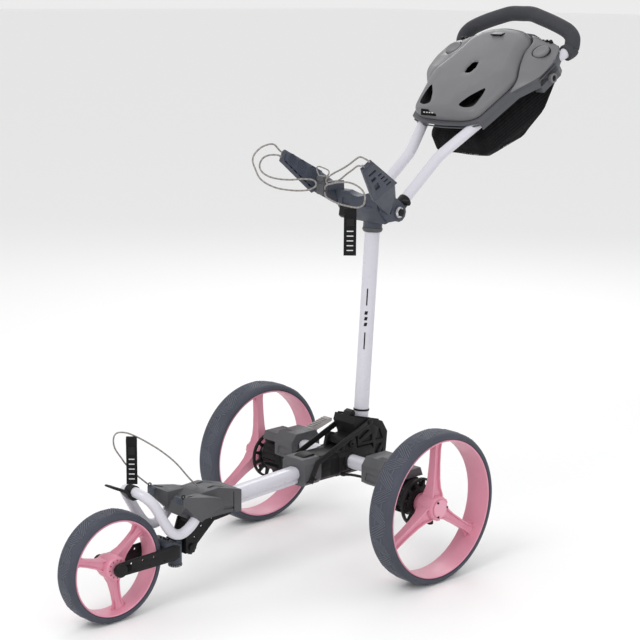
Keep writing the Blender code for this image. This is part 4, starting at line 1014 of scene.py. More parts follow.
def front_casting_looks():
    """The grey casting: slotted wings, a window in its roof and a ribbed side face."""
    shape = node_mesh("front_casting")
    cutters = []
    roof_slot = rounded_outline([(-0.006, -0.020), (0.006, -0.020), (0.006, 0.020),
                                 (-0.006, 0.020)], 0.0055)
    slant = Vector((0.0, 0.965, -0.26))
    for side in (1, -1):
        place = at(side * 0.0165, -0.341, 0.2062)
        cutters.append(loft([[place + Vector((x * 0.55, 0, 0)) + slant * v
                              + Vector((0, 0, h)) for x, v in roof_slot]
                             for h in (-0.0090, 0.012)]))
        wing = at(side * 0.0455, -0.4260, 0.2080)
        along = Vector((side * 0.30, -0.95, 0.10)).normalized()
        across = Vector((0.95, side * 0.30, 0.0)).normalized()
        tip_slot = rounded_outline([(-0.0030, -0.0095), (0.0030, -0.0095), (0.0030, 0.0095),
                                    (-0.0030, 0.0095)], 0.0028)
        cutters.append(loft([[wing + across * x + along * v + Vector((0, 0, h))
                              for x, v in tip_slot] for h in (-0.0085, 0.010)]))
        for row in range(2):
            for k in range(4):
                y = -0.386 + 0.0098 * k + 0.003 * row
                z = 0.1660 + 0.0105 * row
                lean = 1 if (k + row) % 2 else -1
                tri = [(y - 0.0036, z - 0.0033 * lean), (y + 0.0036, z - 0.0033 * lean),
                       (y, z + 0.0033 * lean)]
                tri = tri if lean > 0 else tri[::-1]
                cutters.append(side_prism(tri, side * 0.0262, side * 0.0360))
        cutters.append(side_prism(rounded_outline([(-0.333, 0.1600), (-0.309, 0.1575),
                                                   (-0.309, 0.1620), (-0.333, 0.1665)], 0.002),
                                  side * 0.0288, side * 0.0360))
    shape = cut(shape, *cutters)
    piece("front_casting_shell", shape, GREY, "frame", ["front_casting"], bevel=0.0014, smooth=32)
    # painted shade: a thin nearly black strip on each side stands in for the shade in the
    # casting's groove
    groove = []
    for side in (1, -1):
        groove.append(side_prism([(-0.3095, 0.1522), (-0.3080, 0.1522), (-0.3080, 0.1905),
                                  (-0.3095, 0.1909)], side * 0.0312, side * 0.0305))
    piece("front_casting_groove_shade", gathered(*groove), DARK, "frame", slot="grey_casting")
    for name, side in SIDES:
        eyelet = turned_ring(at(side * 0.0495, -0.4435, 0.2135), [(0.0, 0.0022), (0.0, 0.0042),
                             (0.0016, 0.0042), (0.0016, 0.0022)], 1, 24)
        piece(f"casting_cord_eyelet_{name}", eyelet, BLACK, "frame", slot="black_plastic")
        bumper = side_prism(rounded_outline([(-0.4480, 0.1975), (-0.4440, 0.1975),
                                             (-0.4440, 0.2115), (-0.4480, 0.2115)], 0.0015),
                            side * 0.0300, side * 0.0500)
        piece(f"casting_wing_edge_{name}", bumper, SLATE, "frame", slot="grey_casting",
              bevel=0.0006)


def bag_rest_looks():
    piece("bag_rest_tube", pipe(bag_loop_path(), 0.0095, 0.002, 24), WHITE, "frame",
          ["bag_rest_loop"], smooth=50)
    outline = [(-0.5130, 0.2140), (-0.5250, 0.2140), (-0.5340, 0.2230), (-0.5400, 0.2310),
               (-0.5500, 0.2362), (-0.5610, 0.2415), (-0.5710, 0.2465), (-0.5725, 0.2490),
               (-0.5690, 0.2500), (-0.5590, 0.2460), (-0.5480, 0.2405), (-0.5370, 0.2355),
               (-0.5270, 0.2270), (-0.5130, 0.2230)]
    rest = turned(at(-0.0150, -0.5195, 0.2290), X_AXIS, [(0.0, 0.0098), (0.0300, 0.0098)], 40)
    piece("bag_rest_clip_strip", cut(side_prism(outline, -0.0100, 0.0100), rest), BLACK,
          "frame", ["bag_rest_clip"], bevel=0.0009)
    ring = turned_ring(at(0.0, -0.5195, 0.2290), [(-0.0085, 0.0098), (0.0085, 0.0098),
                                                  (0.0085, 0.0114), (-0.0085, 0.0114)], 1, 40)
    piece("bag_rest_clip_band", ring, BLACK, "frame", slot="black_plastic", smooth=30)


def fork_bracket_looks():
    shape = node_mesh("fork_bracket")
    windows = []
    for y, z, size in ((-0.3520, 0.1450, 0.0032), (-0.3280, 0.1468, 0.0026),
                       (-0.3770, 0.1360, 0.0040), (-0.3930, 0.1180, 0.0036)):
        windows.append(side_prism([(y - size, z - size * 0.7), (y + size, z - size * 0.5),
                                   (y + size * 0.2, z + size * 0.8)], -0.03, 0.03))
    piece("fork_bracket_plates", cut(shape, *windows), BLACK, "frame", ["fork_bracket"],
          bevel=0.0007)
    y, z = FORK_PIVOT
    piece("fork_fold_bolt", node_mesh("fork_bolt"), BLACK, "frame", ["fork_bolt"], bevel=0.0006)
    teeth = []
    for k in range(7):
        angle = math.radians(-75 + 25 * k)
        centre = at(0.0, y + 0.0148 * math.cos(angle), z + 0.0148 * math.sin(angle))
        out = Vector((0.0, math.cos(angle), math.sin(angle)))
        teeth.append(slab(centre, X_AXIS, out, X_AXIS.cross(out), (0.0268, 0.0042, 0.0026)))
    piece("fork_latch_teeth", gathered(*teeth), BLACK, "fork_knuckle", slot="black_plastic",
          bevel=0.0004)


def strip_on_block(points, width, thick, side, x):
    """A flat moulded rib on the side of the block."""
    rings = []
    for y, z in points:
        rings.append([at(side * (x + d), y, z + h) for d, h in
                      ((0, -width / 2), (thick, -width / 2 + thick * 0.5),
                       (thick, width / 2 - thick * 0.5), (0, width / 2))])
    return loft(rings)


def main_block_looks():
    """The moulded hinge block: shaped shoulders, seams, pockets and the sleeve ahead of it."""
    sleeve = node_mesh("front_sleeve")
    pockets = [side_prism(rounded_outline([(-0.125, 0.1660), (-0.096, 0.1672), (-0.096, 0.1725),
                                           (-0.125, 0.1712)], 0.0015), s * 0.0265, s * 0.036)
               for s in (1, -1)]
    piece("front_sleeve_shell", cut(sleeve, *pockets), GREY, "frame", ["front_sleeve"],
          bevel=0.0022, smooth=30)
    block = node_mesh("main_block")
    cutters = []
    for side in (1, -1):
        for y0, y1 in ((-0.030, -0.006), (0.016, 0.046)):
            cutters.append(side_prism(rounded_outline([(y0, 0.1680), (y1, 0.1680), (y1, 0.1735),
                                                       (y0, 0.1735)], 0.0018),
                                      side * 0.0300, side * 0.0400))
        cutters.append(side_prism([(-0.0370, 0.150), (-0.0362, 0.150), (-0.0362, 0.220),
                                   (-0.0370, 0.220)], side * 0.0290, side * 0.0400))
        cutters.append(side_prism([(-0.0605, 0.150), (-0.0597, 0.150), (-0.0597, 0.220),
                                   (-0.0605, 0.220)], side * 0.0312, side * 0.0400))
    piece("main_block_shell", cut(block, *cutters), BLACK, "frame", ["main_block"],
          bevel=0.0018, smooth=30)
    ribs = []
    for side in (1, -1):
        ribs.append(strip_on_block([(-0.082, 0.1925), (-0.064, 0.1925)], 0.011, 0.0014, side,
                                   0.0318))
        ribs.append(strip_on_block([(-0.030, 0.1900), (0.048, 0.1900)], 0.012, 0.0012, side,
                                   0.0376))
        collar = turned_ring(at(side * 0.0378, -0.011, 0.192), [(0.0, 0.0150), (0.0, 0.0185),
                             (0.0042, 0.0178), (0.0042, 0.0150)], side, 40)
        ribs.append(collar)
    piece("main_block_ribs", gathered(*ribs), BLACK, "frame", slot="black_plastic",
          bevel=0.0005)
    bridge = [(-0.118, 0.2132), (-0.108, 0.2168), (-0.090, 0.2176), (-0.0860, 0.2132)]
    piece("sleeve_bridge", side_prism(bridge, -0.0145, 0.0145), BLACK, "frame",
          slot="black_plastic", bevel=0.0014)
    for name, side in SIDES:
        place = at(side * 0.0318, *MAST_PIVOT)
        socket_screw(place, X_AXIS * side, 0.0068, 0.0034, BLACK, f"mast_bolt_head_{name}",
                     "frame")
        socket_screw(at(side * 0.0352, -0.111, 0.1745), X_AXIS * side, 0.0042, 0.0022, BLACK,
                     f"strap_screw_{name}", "frame")
    piece("mast_hinge_bolt", node_mesh("mast_bolt"), BLACK, "frame", ["mast_bolt"],
          bevel=0.0004)


def axle_ring(x, grow=0.0, sides=40):
    """The cross tube's section: an oval with flattened sides and a groove in each."""
    ring = []
    for c, s in circle(1.0, sides):
        groove = 0.0009 * math.exp(-((s / 0.16) ** 2))
        ring.append(at(x, -0.011 + (0.0125 + grow - groove) * math.copysign(abs(c) ** 0.75, c),
                       0.192 + (0.0135 + grow) * math.copysign(abs(s) ** 0.75, s)))
    return ring


def axle_looks():
    rings = [axle_ring(x) for x in (-0.100, 0.100)]
    rings += [axle_ring(x, -0.0024) for x in (0.100, -0.100)]
    piece("axle_cross_tube", loft(rings, closed=True), WHITE, "frame", ["axle_tube"], smooth=40)


def wheel_bracket_looks(name, side):
    """Grey end housing with its louvres, and the black brake housing under it."""
    shape = node_mesh(f"wheel_bracket_{name}")
    cutters = []
    for k in range(4):
        y = -0.0305 + 0.0042 * k
        cutters.append(side_prism([(y - 0.0010, 0.196 + 0.0035 * k), (y + 0.0010, 0.196
                                   + 0.0035 * k), (y + 0.0040, 0.2260), (y + 0.0020, 0.2260)],
                                  side * 0.128, side * 0.149))
    cutters.append(side_prism(rounded_outline([(-0.026, 0.1740), (0.010, 0.1740),
                                               (0.010, 0.1990), (-0.026, 0.1990)], 0.004),
                              side * 0.0970, side * 0.1030))
    cutters.append(long_prism([(side * 0.110, -0.010), (side * 0.144, -0.010),
                               (side * 0.140, 0.006), (side * 0.114, 0.006)], -0.048, 0.185,
                              -0.0415, 0.185))
    piece(f"wheel_bracket_shell_{name}", cut(shape, *cutters), GREY, "frame",
          [f"wheel_bracket_{name}"], bevel=0.0022, smooth=30)
    barrel = node_mesh(f"brake_housing_{name}")
    piece(f"brake_housing_shell_{name}", barrel, BLACK, "frame", [f"brake_housing_{name}"],
          bevel=0.0016, smooth=40)
    rib = slab(Vector((side * 0.0, 0.0, 0.0360)), X_AXIS, Vector((0, 1, 0)), Vector((0, 0, 1)),
               (0.0360, 0.0026, 0.0026))
    round_copies(f"brake_housing_ribs_{name}", rib, at(side * 0.180, 0.0, 0.156), X_AXIS, 18,
                 BLACK, "frame", slot="black_plastic")
    face = []
    for k in range(6):
        angle = math.radians(30 + 60 * k)
        out = Vector((0.0, math.cos(angle), math.sin(angle)))
        face.append(slab(at(side * 0.1518, 0.0, 0.156) + out * 0.0165, out, X_AXIS.cross(out),
                         X_AXIS, (0.022, 0.0026, 0.0036)))
    face.append(turned_ring(at(side * 0.1503, 0.0, 0.156), [(0.0, 0.0060), (0.0, 0.0096),
                            (0.0030, 0.0096), (0.0030, 0.0060)], side, 28))
    face.append(turned_ring(at(side * 0.1503, 0.0, 0.156), [(0.0, 0.0255), (0.0, 0.0290),
                            (0.0030, 0.0290), (0.0030, 0.0255)], side, 40))
    piece(f"brake_housing_face_{name}", gathered(*face), BLACK, "frame", slot="black_plastic",
          bevel=0.0004)
    fin = side_prism(rounded_outline([(-0.0380, 0.1395), (-0.0300, 0.1290), (0.0060, 0.1180),
                                      (0.0120, 0.1215), (-0.0180, 0.1420)], 0.002),
                     side * 0.1560, side * 0.1880)
    piece(f"brake_housing_fin_{name}", fin, BLACK, "frame", slot="black_plastic", bevel=0.0008)
    piece(f"axle_stub_{name}", node_mesh(f"wheel_axle_{name}"), STEEL, "frame",
          [f"wheel_axle_{name}"], bevel=0.0008)
    piece(f"brake_pin_rod_{name}", node_mesh(f"brake_pin_{name}"), STEEL, f"brake_pin_{name}",
          [f"brake_pin_{name}"], bevel=0.0005)


def mast_strap_looks(name, side):
    shape = node_mesh(f"mast_strap_{name}")
    obj = piece(f"mast_strap_rubber_{name}", shape, STRAP, None, [f"mast_strap_{name}"],
                bevel=0.0007)
    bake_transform(obj)


def brake_pedal_looks():
    y, z = (0.0405, 0.2035)
    piece("brake_pedal_plate", node_mesh("brake_pedal"), PEDAL, "brake_pedal", ["brake_pedal"],
          bevel=0.0013, smooth=30)
    run = Vector((0.0, 0.061, 0.016)).normalized()
    lift = Vector((0.0, -run.z, run.y))
    rib = slab(Vector(), X_AXIS, run, lift, (0.0165, 0.0030, 0.0016))
    start = at(-0.150, y + 0.0150, z + 0.0083) + lift * 0.0006
    grown("brake_pedal_treads", rib, ROW_COPIES, PEDAL, "brake_pedal", Count=7, Start=start,
          Stride=run * 0.0064, slot="pedal_plastic")
    bracket = [side_prism(rounded_outline([(0.0330, 0.1990), (0.0500, 0.1965),
                                           (0.0490, 0.2085), (0.0360, 0.2100)], 0.003),
                          x, x + 0.0022 * math.copysign(1, x + 0.15)) for x in (-0.1628, -0.1372)]
    piece("brake_pedal_ears", gathered(*bracket), GREY, "frame", slot="grey_casting",
          bevel=0.0005)


def brake_cable_looks():
    route = [at(0.0383, -0.035, 0.1700), at(0.050, -0.036, 0.1715), at(0.065, -0.034, 0.1740),
             at(0.080, -0.026, 0.1725), at(0.091, -0.0195, 0.1700), at(0.0990, -0.0180, 0.1690)]
    piece("brake_cable_sleeve", tube(smooth_path(route, 8), 0.0027, 16), STRAP, "frame",
          ["brake_cable"], smooth=50)
    ends = [turned(at(0.0380, -0.035, 0.1700), Vector((1.0, -0.08, 0.12)),
                   [(0.0, 0.0046), (0.0070, 0.0042), (0.0110, 0.0030)], 20),
            turned(at(0.1000, -0.0178, 0.1688), Vector((-1.0, -0.12, 0.10)),
                   [(0.0, 0.0046), (0.0060, 0.0042), (0.0100, 0.0030)], 20)]
    piece("brake_cable_ends", gathered(*ends), BLACK, "frame", slot="strap")


def fork_looks():
    piece("fork_knuckle_block", node_mesh("fork_knuckle"), BLACK, "fork_knuckle",
          ["fork_knuckle"], bevel=0.0009)
    piece("yoke_block", node_mesh("yoke"), SLATE, "fork", ["yoke"], bevel=0.0016, smooth=30)
    marks = []
    for k, (dx, dy) in enumerate(((-0.010, 0.003), (-0.003, 0.0045), (0.004, 0.0035),
                                  (0.010, 0.0050))):
        marks.append(slab(at(dx, -0.452 + dy, 0.1238), Vector((1, 0, 0)), Vector((0, 1, 0)),
                          Vector((0, 0, 1)), (0.0034, 0.0026, 0.0024)))
    piece("yoke_top_studs", gathered(*marks), BLACK, "fork", slot="slate_casting")
    y, z = FRONT_HUB
    for name, side in SIDES:
        arm = node_mesh(f"fork_arm_{name}")
        piece(f"fork_arm_plate_{name}", arm, BLACK, "fork", [f"fork_arm_{name}"], bevel=0.0006)
        screw = turned(Vector((side * 0.0303, 0.0, 0.0)), X_AXIS * side,
                       [(0.0, 0.0017), (0.0010, 0.0014)], 12)
        grown(f"fork_arm_rivets_{name}", screw, ROW_COPIES, BLACK, "fork", Count=3,
              Start=at(0.0, -0.538, 0.0935), Stride=Vector((0.0, 0.034, 0.0)), slot="steel")
        cap = turned(at(side * 0.0303, y, z), X_AXIS * side,
                     [(0.0, 0.0124), (0.0045, 0.0124), (0.0062, 0.0112), (0.0068, 0.0085)], 32)
        piece(f"front_axle_cap_{name}", cap, BLACK, "fork", slot="black_plastic", smooth=30)
        latch = side_prism(rounded_outline([(y + 0.0125, z - 0.0060), (y + 0.0230, z - 0.0060),
                                            (y + 0.0230, z + 0.0060), (y + 0.0125, z + 0.0060)],
                                           0.0020), side * 0.0303, side * 0.0332)
        piece(f"front_axle_latch_{name}", latch, DARK, "fork", slot="black_plastic",
              bevel=0.0006)
    piece("front_axle_spindle", node_mesh("front_axle"), BLACK, "fork", ["front_axle"],
          bevel=0.0006)
    dial = turned(at(0.0, TRACKING_Y, 0.0655), Vector((0, 0, 1)),
                  [(0.0, 0.0112), (0.0010, 0.0130), (0.0044, 0.0132)], 40)
    piece("tracking_dial_disc", dial, BLACK, "tracking_dial", ["tracking_dial"], smooth=30)
    tick = slab(Vector((0.0, -0.0130, 0.0028)), Vector((0, 0, 1)), X_AXIS, Vector((0, 1, 0)),
                (0.0030, 0.0008, 0.0006))
    grown_ticks = round_copies("tracking_dial_ticks", tick, at(0.0, TRACKING_Y, 0.0655),
                               Vector((0, 0, 1)), 24, PRINT_WHITE, "tracking_dial",
                               slot="black_plastic")
    return grown_ticks


piece("main_tube_extrusion", main_tube_mesh(), WHITE, "frame", ["main_tube"], smooth=50)
front_casting_looks()
bag_rest_looks()
fork_bracket_looks()
main_block_looks()
axle_looks()
for side_name, side_sign in SIDES:
    wheel_bracket_looks(side_name, side_sign)
    mast_strap_looks(side_name, side_sign)
brake_pedal_looks()
brake_cable_looks()
fork_looks()


# ---------------------------------------------------------------- mast
def mast_point(z):
    """The mast's middle line at a height."""
    return MAST_BOTTOM + MAST_AXIS * ((z - MAST_BOTTOM.z) / MAST_AXIS.z)


def mast_ring(z, radius, angles):
    across = MAST_AXIS.cross(X_AXIS)
    centre = at(*mast_point(z))
    return [centre + X_AXIS * radius * math.cos(a) + across * radius * math.sin(a)
            for a in angles]


def mast_stripe(z0, z1, middle, half_angle, lean=0.0):
    """A thin printed patch that follows the mast's round wall."""
    steps = [middle + half_angle * (k / 4 - 1) for k in range(9)]
    rings = []
    for z, shift in ((z0, -lean), (z1, lean)):
        angles = [a + shift for a in steps]
        rings.append(mast_ring(z, MAST_R + 0.00025, angles)
                     + mast_ring(z, MAST_R - 0.0005, angles[::-1]))
    return loft(rings)


def mast_tube_looks():
    full = [2 * math.pi * k / 56 for k in range(56)]
    rings = [mast_ring(z, MAST_R, full) for z in (0.230, 0.668)]
    rings += [mast_ring(z, MAST_R - 0.002, full) for z in (0.668, 0.230)]
    piece("mast_extrusion", loft(rings, closed=True), WHITE, "mast", ["mast_tube"], smooth=50)
    facing = math.radians(-54.0)
    marks = [mast_stripe(0.492, 0.526, facing, 0.085), mast_stripe(0.404, 0.438, facing, 0.085)]
    for k in range(3):
        z = 0.4505 + 0.0115 * k
        marks.append(mast_stripe(z, z + 0.0070, facing, 0.20, 0.05))
    piece("mast_marks", gathered(*marks), BLACK, "mast", slot="white_tube")
    ring = turned(at(*mast_point(0.2775)), MAST_AXIS, [(0.0, 0.0162), (0.0040, 0.0162)], 40)
    hole = turned(at(*mast_point(0.270)), MAST_AXIS, [(0.0, 0.0149), (0.020, 0.0149)], 40)
    piece("mast_foot_collar", cut(ring, hole), BLACK, "mast", slot="black_plastic",
          bevel=0.0006)


def mast_foot_looks():
    shape = node_mesh("mast_foot")
    pockets = [[(0.0660, 0.1690), (0.0835, 0.1700), (0.0885, 0.2010)],
               [(0.0640, 0.1790), (0.0850, 0.2100), (0.0650, 0.2110)],
               [(0.0240, 0.2210), (0.0560, 0.2200), (0.0560, 0.2350)],
               [(0.0200, 0.2270), (0.0500, 0.2430), (0.0150, 0.2480)],
               [(0.0640, 0.2190), (0.0880, 0.2190), (0.0760, 0.2440)]]
    cutters = []
    for side in (1, -1):
        for pocket in pockets:
            cutters.append(side_prism(rounded_outline(pocket, 0.0022, 3), side * 0.0262,
                                      side * 0.0320))
    piece("mast_foot_shell", cut(shape, *cutters), BLACK, "mast", ["mast_foot"], bevel=0.0014,
          smooth=30)
    clip = [(0.0105, 0.2738), (0.0145, 0.2815), (0.0235, 0.2850), (0.0275, 0.2790),
            (0.0255, 0.2700)]
    tongue = side_prism(rounded_outline(clip, 0.0015), -0.0100, 0.0100)
    side_rails = [side_prism([(0.0110, 0.2750), (0.0800, 0.2560), (0.0805, 0.2590),
                              (0.0115, 0.2780)], s * 0.0215, s * 0.0245) for s in (1, -1)]
    piece("mast_foot_clip", gathered(tongue, *side_rails), BLACK, "mast",
          slot="black_plastic", bevel=0.0008)
    piece("strap_cross_pin", node_mesh("strap_pin"), BLACK, "mast", ["strap_pin"],
          bevel=0.0004)


def arm_point(side, along, up, out):
    """A place on a bag arm: shares along and up its face, and metres off its inner face."""
    low = ARM_LOW.lerp(ARM_TIP_LOW, along)
    high = ARM_HIGH.lerp(ARM_TIP_HIGH, along)
    return at(*flip(low.lerp(high, up) + ARM_OUT * out, side))


def arm_prism(side, outline, out0, out1):
    """An outline of shares (along, up) on the arm, pulled out along its thickness."""
    return loft([[arm_point(side, s, t, d) for s, t in outline] for d in (out0, out1)])


def arm_oval(side, along, up, half_long, half_high, width, out0, out1):
    """An oval bead on the arm's face, in metres about a place given by shares."""
    centre = arm_point(side, along, up, 0.0)
    run = (arm_point(side, 1.0, 0.5, 0.0) - arm_point(side, 0.0, 0.5, 0.0)).normalized()
    out = (arm_point(side, 0.5, 0.5, 1.0) - arm_point(side, 0.5, 0.5, 0.0)).normalized()
    rise = out.cross(run)
    rings = []
    for c, s in circle(1.0, 36):
        section = []
        for inset, d in ((0, out0), (0, out1), (width, out1), (width, out0)):
            section.append(centre + run * (half_long - inset) * c
                           + rise * (half_high - inset) * s + out * d)
        rings.append(section)
    return loft(rings, closed=True)


def upper_bracket_looks():
    shape = node_mesh("upper_bracket")
    cutters = []
    for side in (1, -1):
        for along, up in ((0.17, 0.78), (0.30, 0.77), (0.43, 0.76), (0.56, 0.75)):
            slot = [(along - 0.025, up - 0.10), (along + 0.025, up - 0.10),
                    (along + 0.025, up + 0.10), (along - 0.025, up + 0.10)]
            cutters.append(arm_prism(side, slot, 0.0050, 0.0120))
        for slot in ([(0.24, 0.22), (0.42, 0.24), (0.42, 0.48), (0.24, 0.44)],
                     [(0.52, 0.24), (0.62, 0.24), (0.62, 0.50), (0.52, 0.50)],
                     [(0.72, 0.24), (0.78, 0.24), (0.78, 0.74), (0.72, 0.74)]):
            cutters.append(arm_prism(side, slot, 0.0045, 0.0120))
        cutters.append(side_prism(rounded_outline([(0.0655, 0.6790), (0.0700, 0.6900),
                                                   (0.0640, 0.7010), (0.0540, 0.7010),
                                                   (0.0560, 0.6860)], 0.0025),
                                  side * 0.0570, side * 0.0640))
    bowl = turned(at(0.0, 0.020, 0.7555), Vector((0, 1, 0)), [(0.0, 0.0440), (0.050, 0.0440)],
                  64)
    cutters.append(bowl)
    for side in (1, -1):
        cutters.append(side_prism(rounded_outline([(0.0330, 0.6935), (0.0360, 0.6935),
                                                   (0.0360, 0.7060), (0.0330, 0.7060)], 0.001),
                                  side * 0.0200, side * 0.0420))
    piece("upper_bracket_shell", cut(shape, *cutters), SLATE, "mast", ["upper_bracket"],
          bevel=0.0014, smooth=30)
    y, z = HANDLE_PIVOT
    rib = []
    for side in (1, -1):
        rib.append(turned_ring(at(side * 0.0600, y, z), [(0.0, 0.0120), (0.0, 0.0150),
                               (0.0014, 0.0146), (0.0014, 0.0124)], side, 48))
        rib.append(arm_prism(side, [(0.90, 0.04), (0.985, 0.04), (0.985, 0.96), (0.90, 0.96)],
                             0.0088, 0.0104))
    piece("upper_bracket_ribs", gathered(*rib), SLATE, "mast", slot="slate_casting",
          bevel=0.0005)
    collar = turned(at(*mast_point(0.6395)), MAST_AXIS,
                    [(0.0, 0.0186), (0.0022, 0.0202), (0.0060, 0.0202), (0.0075, 0.0190)], 40)
    hole = turned(at(*mast_point(0.630)), MAST_AXIS, [(0.0, 0.0152), (0.030, 0.0152)], 40)
    piece("upper_bracket_collar", cut(collar, hole), GREY, "mast", slot="slate_casting",
          smooth=30)
    lug = side_prism(rounded_outline([(0.0300, 0.6700), (0.0380, 0.6640), (0.0400, 0.6900),
                                      (0.0330, 0.6900)], 0.002), -0.0480, -0.0230)
    piece("upper_bracket_lug", lug, BLACK, "mast", slot="slate_casting", bevel=0.0010)
    for name, side in SIDES:
        head = turned(at(side * 0.0604, y, z), X_AXIS * side,
                      [(0.0, 0.0112), (0.0012, 0.0112), (0.0016, 0.0108)], 40)
        piece(f"handle_bolt_washer_{name}", head, STEEL, "mast", slot="steel", smooth=30)
        nut = turned(at(side * 0.0620, y, z), X_AXIS * side,
                     [(0.0, 0.0084), (0.0046, 0.0084), (0.0054, 0.0076)], 6)
        piece(f"handle_bolt_head_{name}", nut, BLACK, "mast", slot="steel", bevel=0.0004)
    piece("handle_bolt_shank", node_mesh("handle_bolt"), STEEL, "mast", ["handle_bolt"],
          bevel=0.0004)


def cradle_pad_looks(name, side):
    outline = rounded_outline([(0.06, 0.06), (0.94, 0.06), (0.94, 0.94), (0.06, 0.94)], 0.16, 6)
    inner = [(0.5 + (s - 0.5) * 0.965, 0.5 + (t - 0.5) * 0.94) for s, t in outline]
    core = [(0.5 + (s - 0.5) * 0.5, 0.5 + (t - 0.5) * 0.5) for s, t in outline]
    rings = [[arm_point(side, s, t, d) for s, t in shape]
             for shape, d in ((outline, -0.0004), (outline, -0.0026), (inner, -0.0036),
                              (core, -0.0042))]
    pad = piece(f"cradle_pad_cushion_{name}", loft(rings), PAD, "mast", [f"cradle_pad_{name}"],
                smooth=40)
    beads = []
    for along, half_long, half_high in ((0.22, 0.0122, 0.0200), (0.52, 0.0112, 0.0165),
                                        (0.78, 0.0092, 0.0128)):
        for share in (1.0, 0.66, 0.32):
            beads.append(arm_oval(side, along, 0.5, half_long * share, half_high * share,
                                  0.0014, -0.0035, -0.0050))
    piece(f"cradle_pad_beads_{name}", gathered(*beads), PAD, "mast", slot="pad_rubber",
          bevel=0.0004)
    # painted shade: flush nearly black dashes stand in for the shade inside the pad's slots
    dashes = []
    for k in range(6):
        s = 0.14 + 0.14 * k
        dashes.append(arm_prism(side, [(s, 0.012), (s + 0.07, 0.012), (s + 0.07, 0.05),
                                       (s, 0.05)], -0.0010, 0.0010))
    piece(f"cradle_pad_slot_shade_{name}", gathered(*dashes), DARK, "mast", slot="pad_rubber")


def cord_hook_looks():
    block = side_prism(rounded_outline([(-0.0145, 0.7130), (-0.0015, 0.7130),
                                        (-0.0015, 0.7500), (-0.0145, 0.7500)], 0.0040),
                       -0.0655, -0.0465)
    notch = slab(at(-0.0560, -0.0150, 0.7375), X_AXIS, Vector((0, 1, 0)), Vector((0, 0, 1)),
                 (0.0300, 0.0070, 0.0060))
    piece("cord_hook_block", cut(block, notch), GREY, "mast", ["cord_hook"], bevel=0.0012)
    corners = [at(-0.0620, -0.0080, 0.7460), at(-0.0720, -0.0060, 0.7560),
               at(-0.0745, -0.0050, 0.7640), at(-0.0680, -0.0040, 0.7665),
               at(-0.0480, -0.0020, 0.7620), at(-0.0420, -0.0030, 0.7570),
               at(-0.0450, -0.0050, 0.7500), at(-0.0500, -0.0080, 0.7450)]
    piece("cord_hook_wire", tube(smooth_path(corners, 6), 0.0013, 12), CORD, "mast",
          slot="grey_casting", smooth=50)


mast_tube_looks()
mast_foot_looks()
upper_bracket_looks()
for side_name, side_sign in SIDES:
    cradle_pad_looks(side_name, side_sign)
cord_hook_looks()


# ---------------------------------------------------------------- handle
GRIP_HALF = [(0.1470, 0.4960, 0.9900), (0.1482, 0.4995, 1.0030), (0.1445, 0.5030, 1.0150),
             (0.1320, 0.5055, 1.0260), (0.1135, 0.5065, 1.0345), (0.0860, 0.5080, 1.0440),
             (0.0550, 0.5105, 1.0530), (0.0280, 0.5135, 1.0595), (0.0, 0.5150, 1.0600)]
CONSOLE_OUTLINE = [(0.0, 0.235), (0.060, 0.238), (0.090, 0.250), (0.117, 0.350), (0.150, 0.386),
                   (0.158, 0.440), (0.142, 0.484), (0.100, 0.496), (0.058, 0.516), (0.0, 0.524)]
LID_OUTLINE = [(0.0, 0.242), (0.058, 0.245), (0.085, 0.256), (0.108, 0.350), (0.112, 0.372),
               (0.095, 0.410), (0.083, 0.446), (0.082, 0.478), (0.056, 0.506), (0.0, 0.516)]
LID_TOP = [(0.0, 0.262), (0.046, 0.270), (0.060, 0.284), (0.078, 0.352), (0.080, 0.372),
           (0.070, 0.404), (0.062, 0.440), (0.056, 0.462), (0.036, 0.482), (0.0, 0.488)]
LID_MIDDLE = Vector((0.0, 0.375))


def handle_x(u):
    return HANDLE_TUBE_X + max(0.0, u - HANDLE_BEND_U) * HANDLE_SPREAD


def handle_path():
    half = [on_handle(handle_x(u), u) for u in (0.0125, 0.080, 0.150)]
    half += [on_handle(HANDLE_TUBE_X + 0.0012, 0.163), on_handle(HANDLE_TUBE_X + 0.0046, 0.176)]
    half += [on_handle(handle_x(u) - 0.0006, u) for u in (0.200, 0.330, 0.460)]
    half += [at(*p) for p in GRIP_HALF]
    return mirror_path(half)


def grip_path():
    start = on_handle(handle_x(0.460) - 0.0006, 0.460).lerp(at(*GRIP_HALF[0]), 0.62)
    return mirror_path([start] + [at(*p) for p in GRIP_HALF])


def grip_mesh():
    """Foam sleeve with a thicker cuff at each end."""
    path = smooth_path(grip_path(), 8)
    frames = path_frames(path)
    walls = []
    last = len(path) - 1
    for inside in (False, True):
        rings = []
        for i, (p, (a, b)) in enumerate(zip(path, frames)):
            end = min(i, last - i)
            radius = GRIP_R + (0.0012 if 1 <= end <= 9 else 0.0)
            radius -= 0.0010 if end in (0, 10) else 0.0
            if inside:
                radius = HANDLE_TUBE_R + 0.0004
            rings.append([p + a * radius * c + b * radius * s for c, s in circle(1.0, 32)])
        walls += rings[::-1] if inside else rings
    return loft(walls, closed=True)


def handle_tube_looks():
    piece("handle_tube_bent", pipe(smooth_path(handle_path(), 6), HANDLE_TUBE_R, 0.002, 28),
          WHITE, "handle", ["handle_tube"], smooth=50)
    piece("handle_grip_foam", grip_mesh(), FOAM, "handle", ["handle_grip"], smooth=40)
    piece("handle_knuckle_barrels", node_mesh("handle_knuckle"), BLACK, "handle",
          ["handle_knuckle"], bevel=0.0008)
    for name, side in SIDES:
        start = on_handle(side * HANDLE_TUBE_X, 0.0125)
        plug = turned(start - U_AXIS * 0.0006, U_AXIS, [(0.0, 0.0125), (0.0240, 0.0125),
                                                       (0.0262, 0.0114)], 32)
        inner = turned(start - U_AXIS * 0.0010, U_AXIS, [(0.0, 0.0085), (0.030, 0.0085)], 32)
        piece(f"handle_socket_{name}", cut(plug, inner), BLACK, "handle",
              slot="black_plastic", smooth=30)


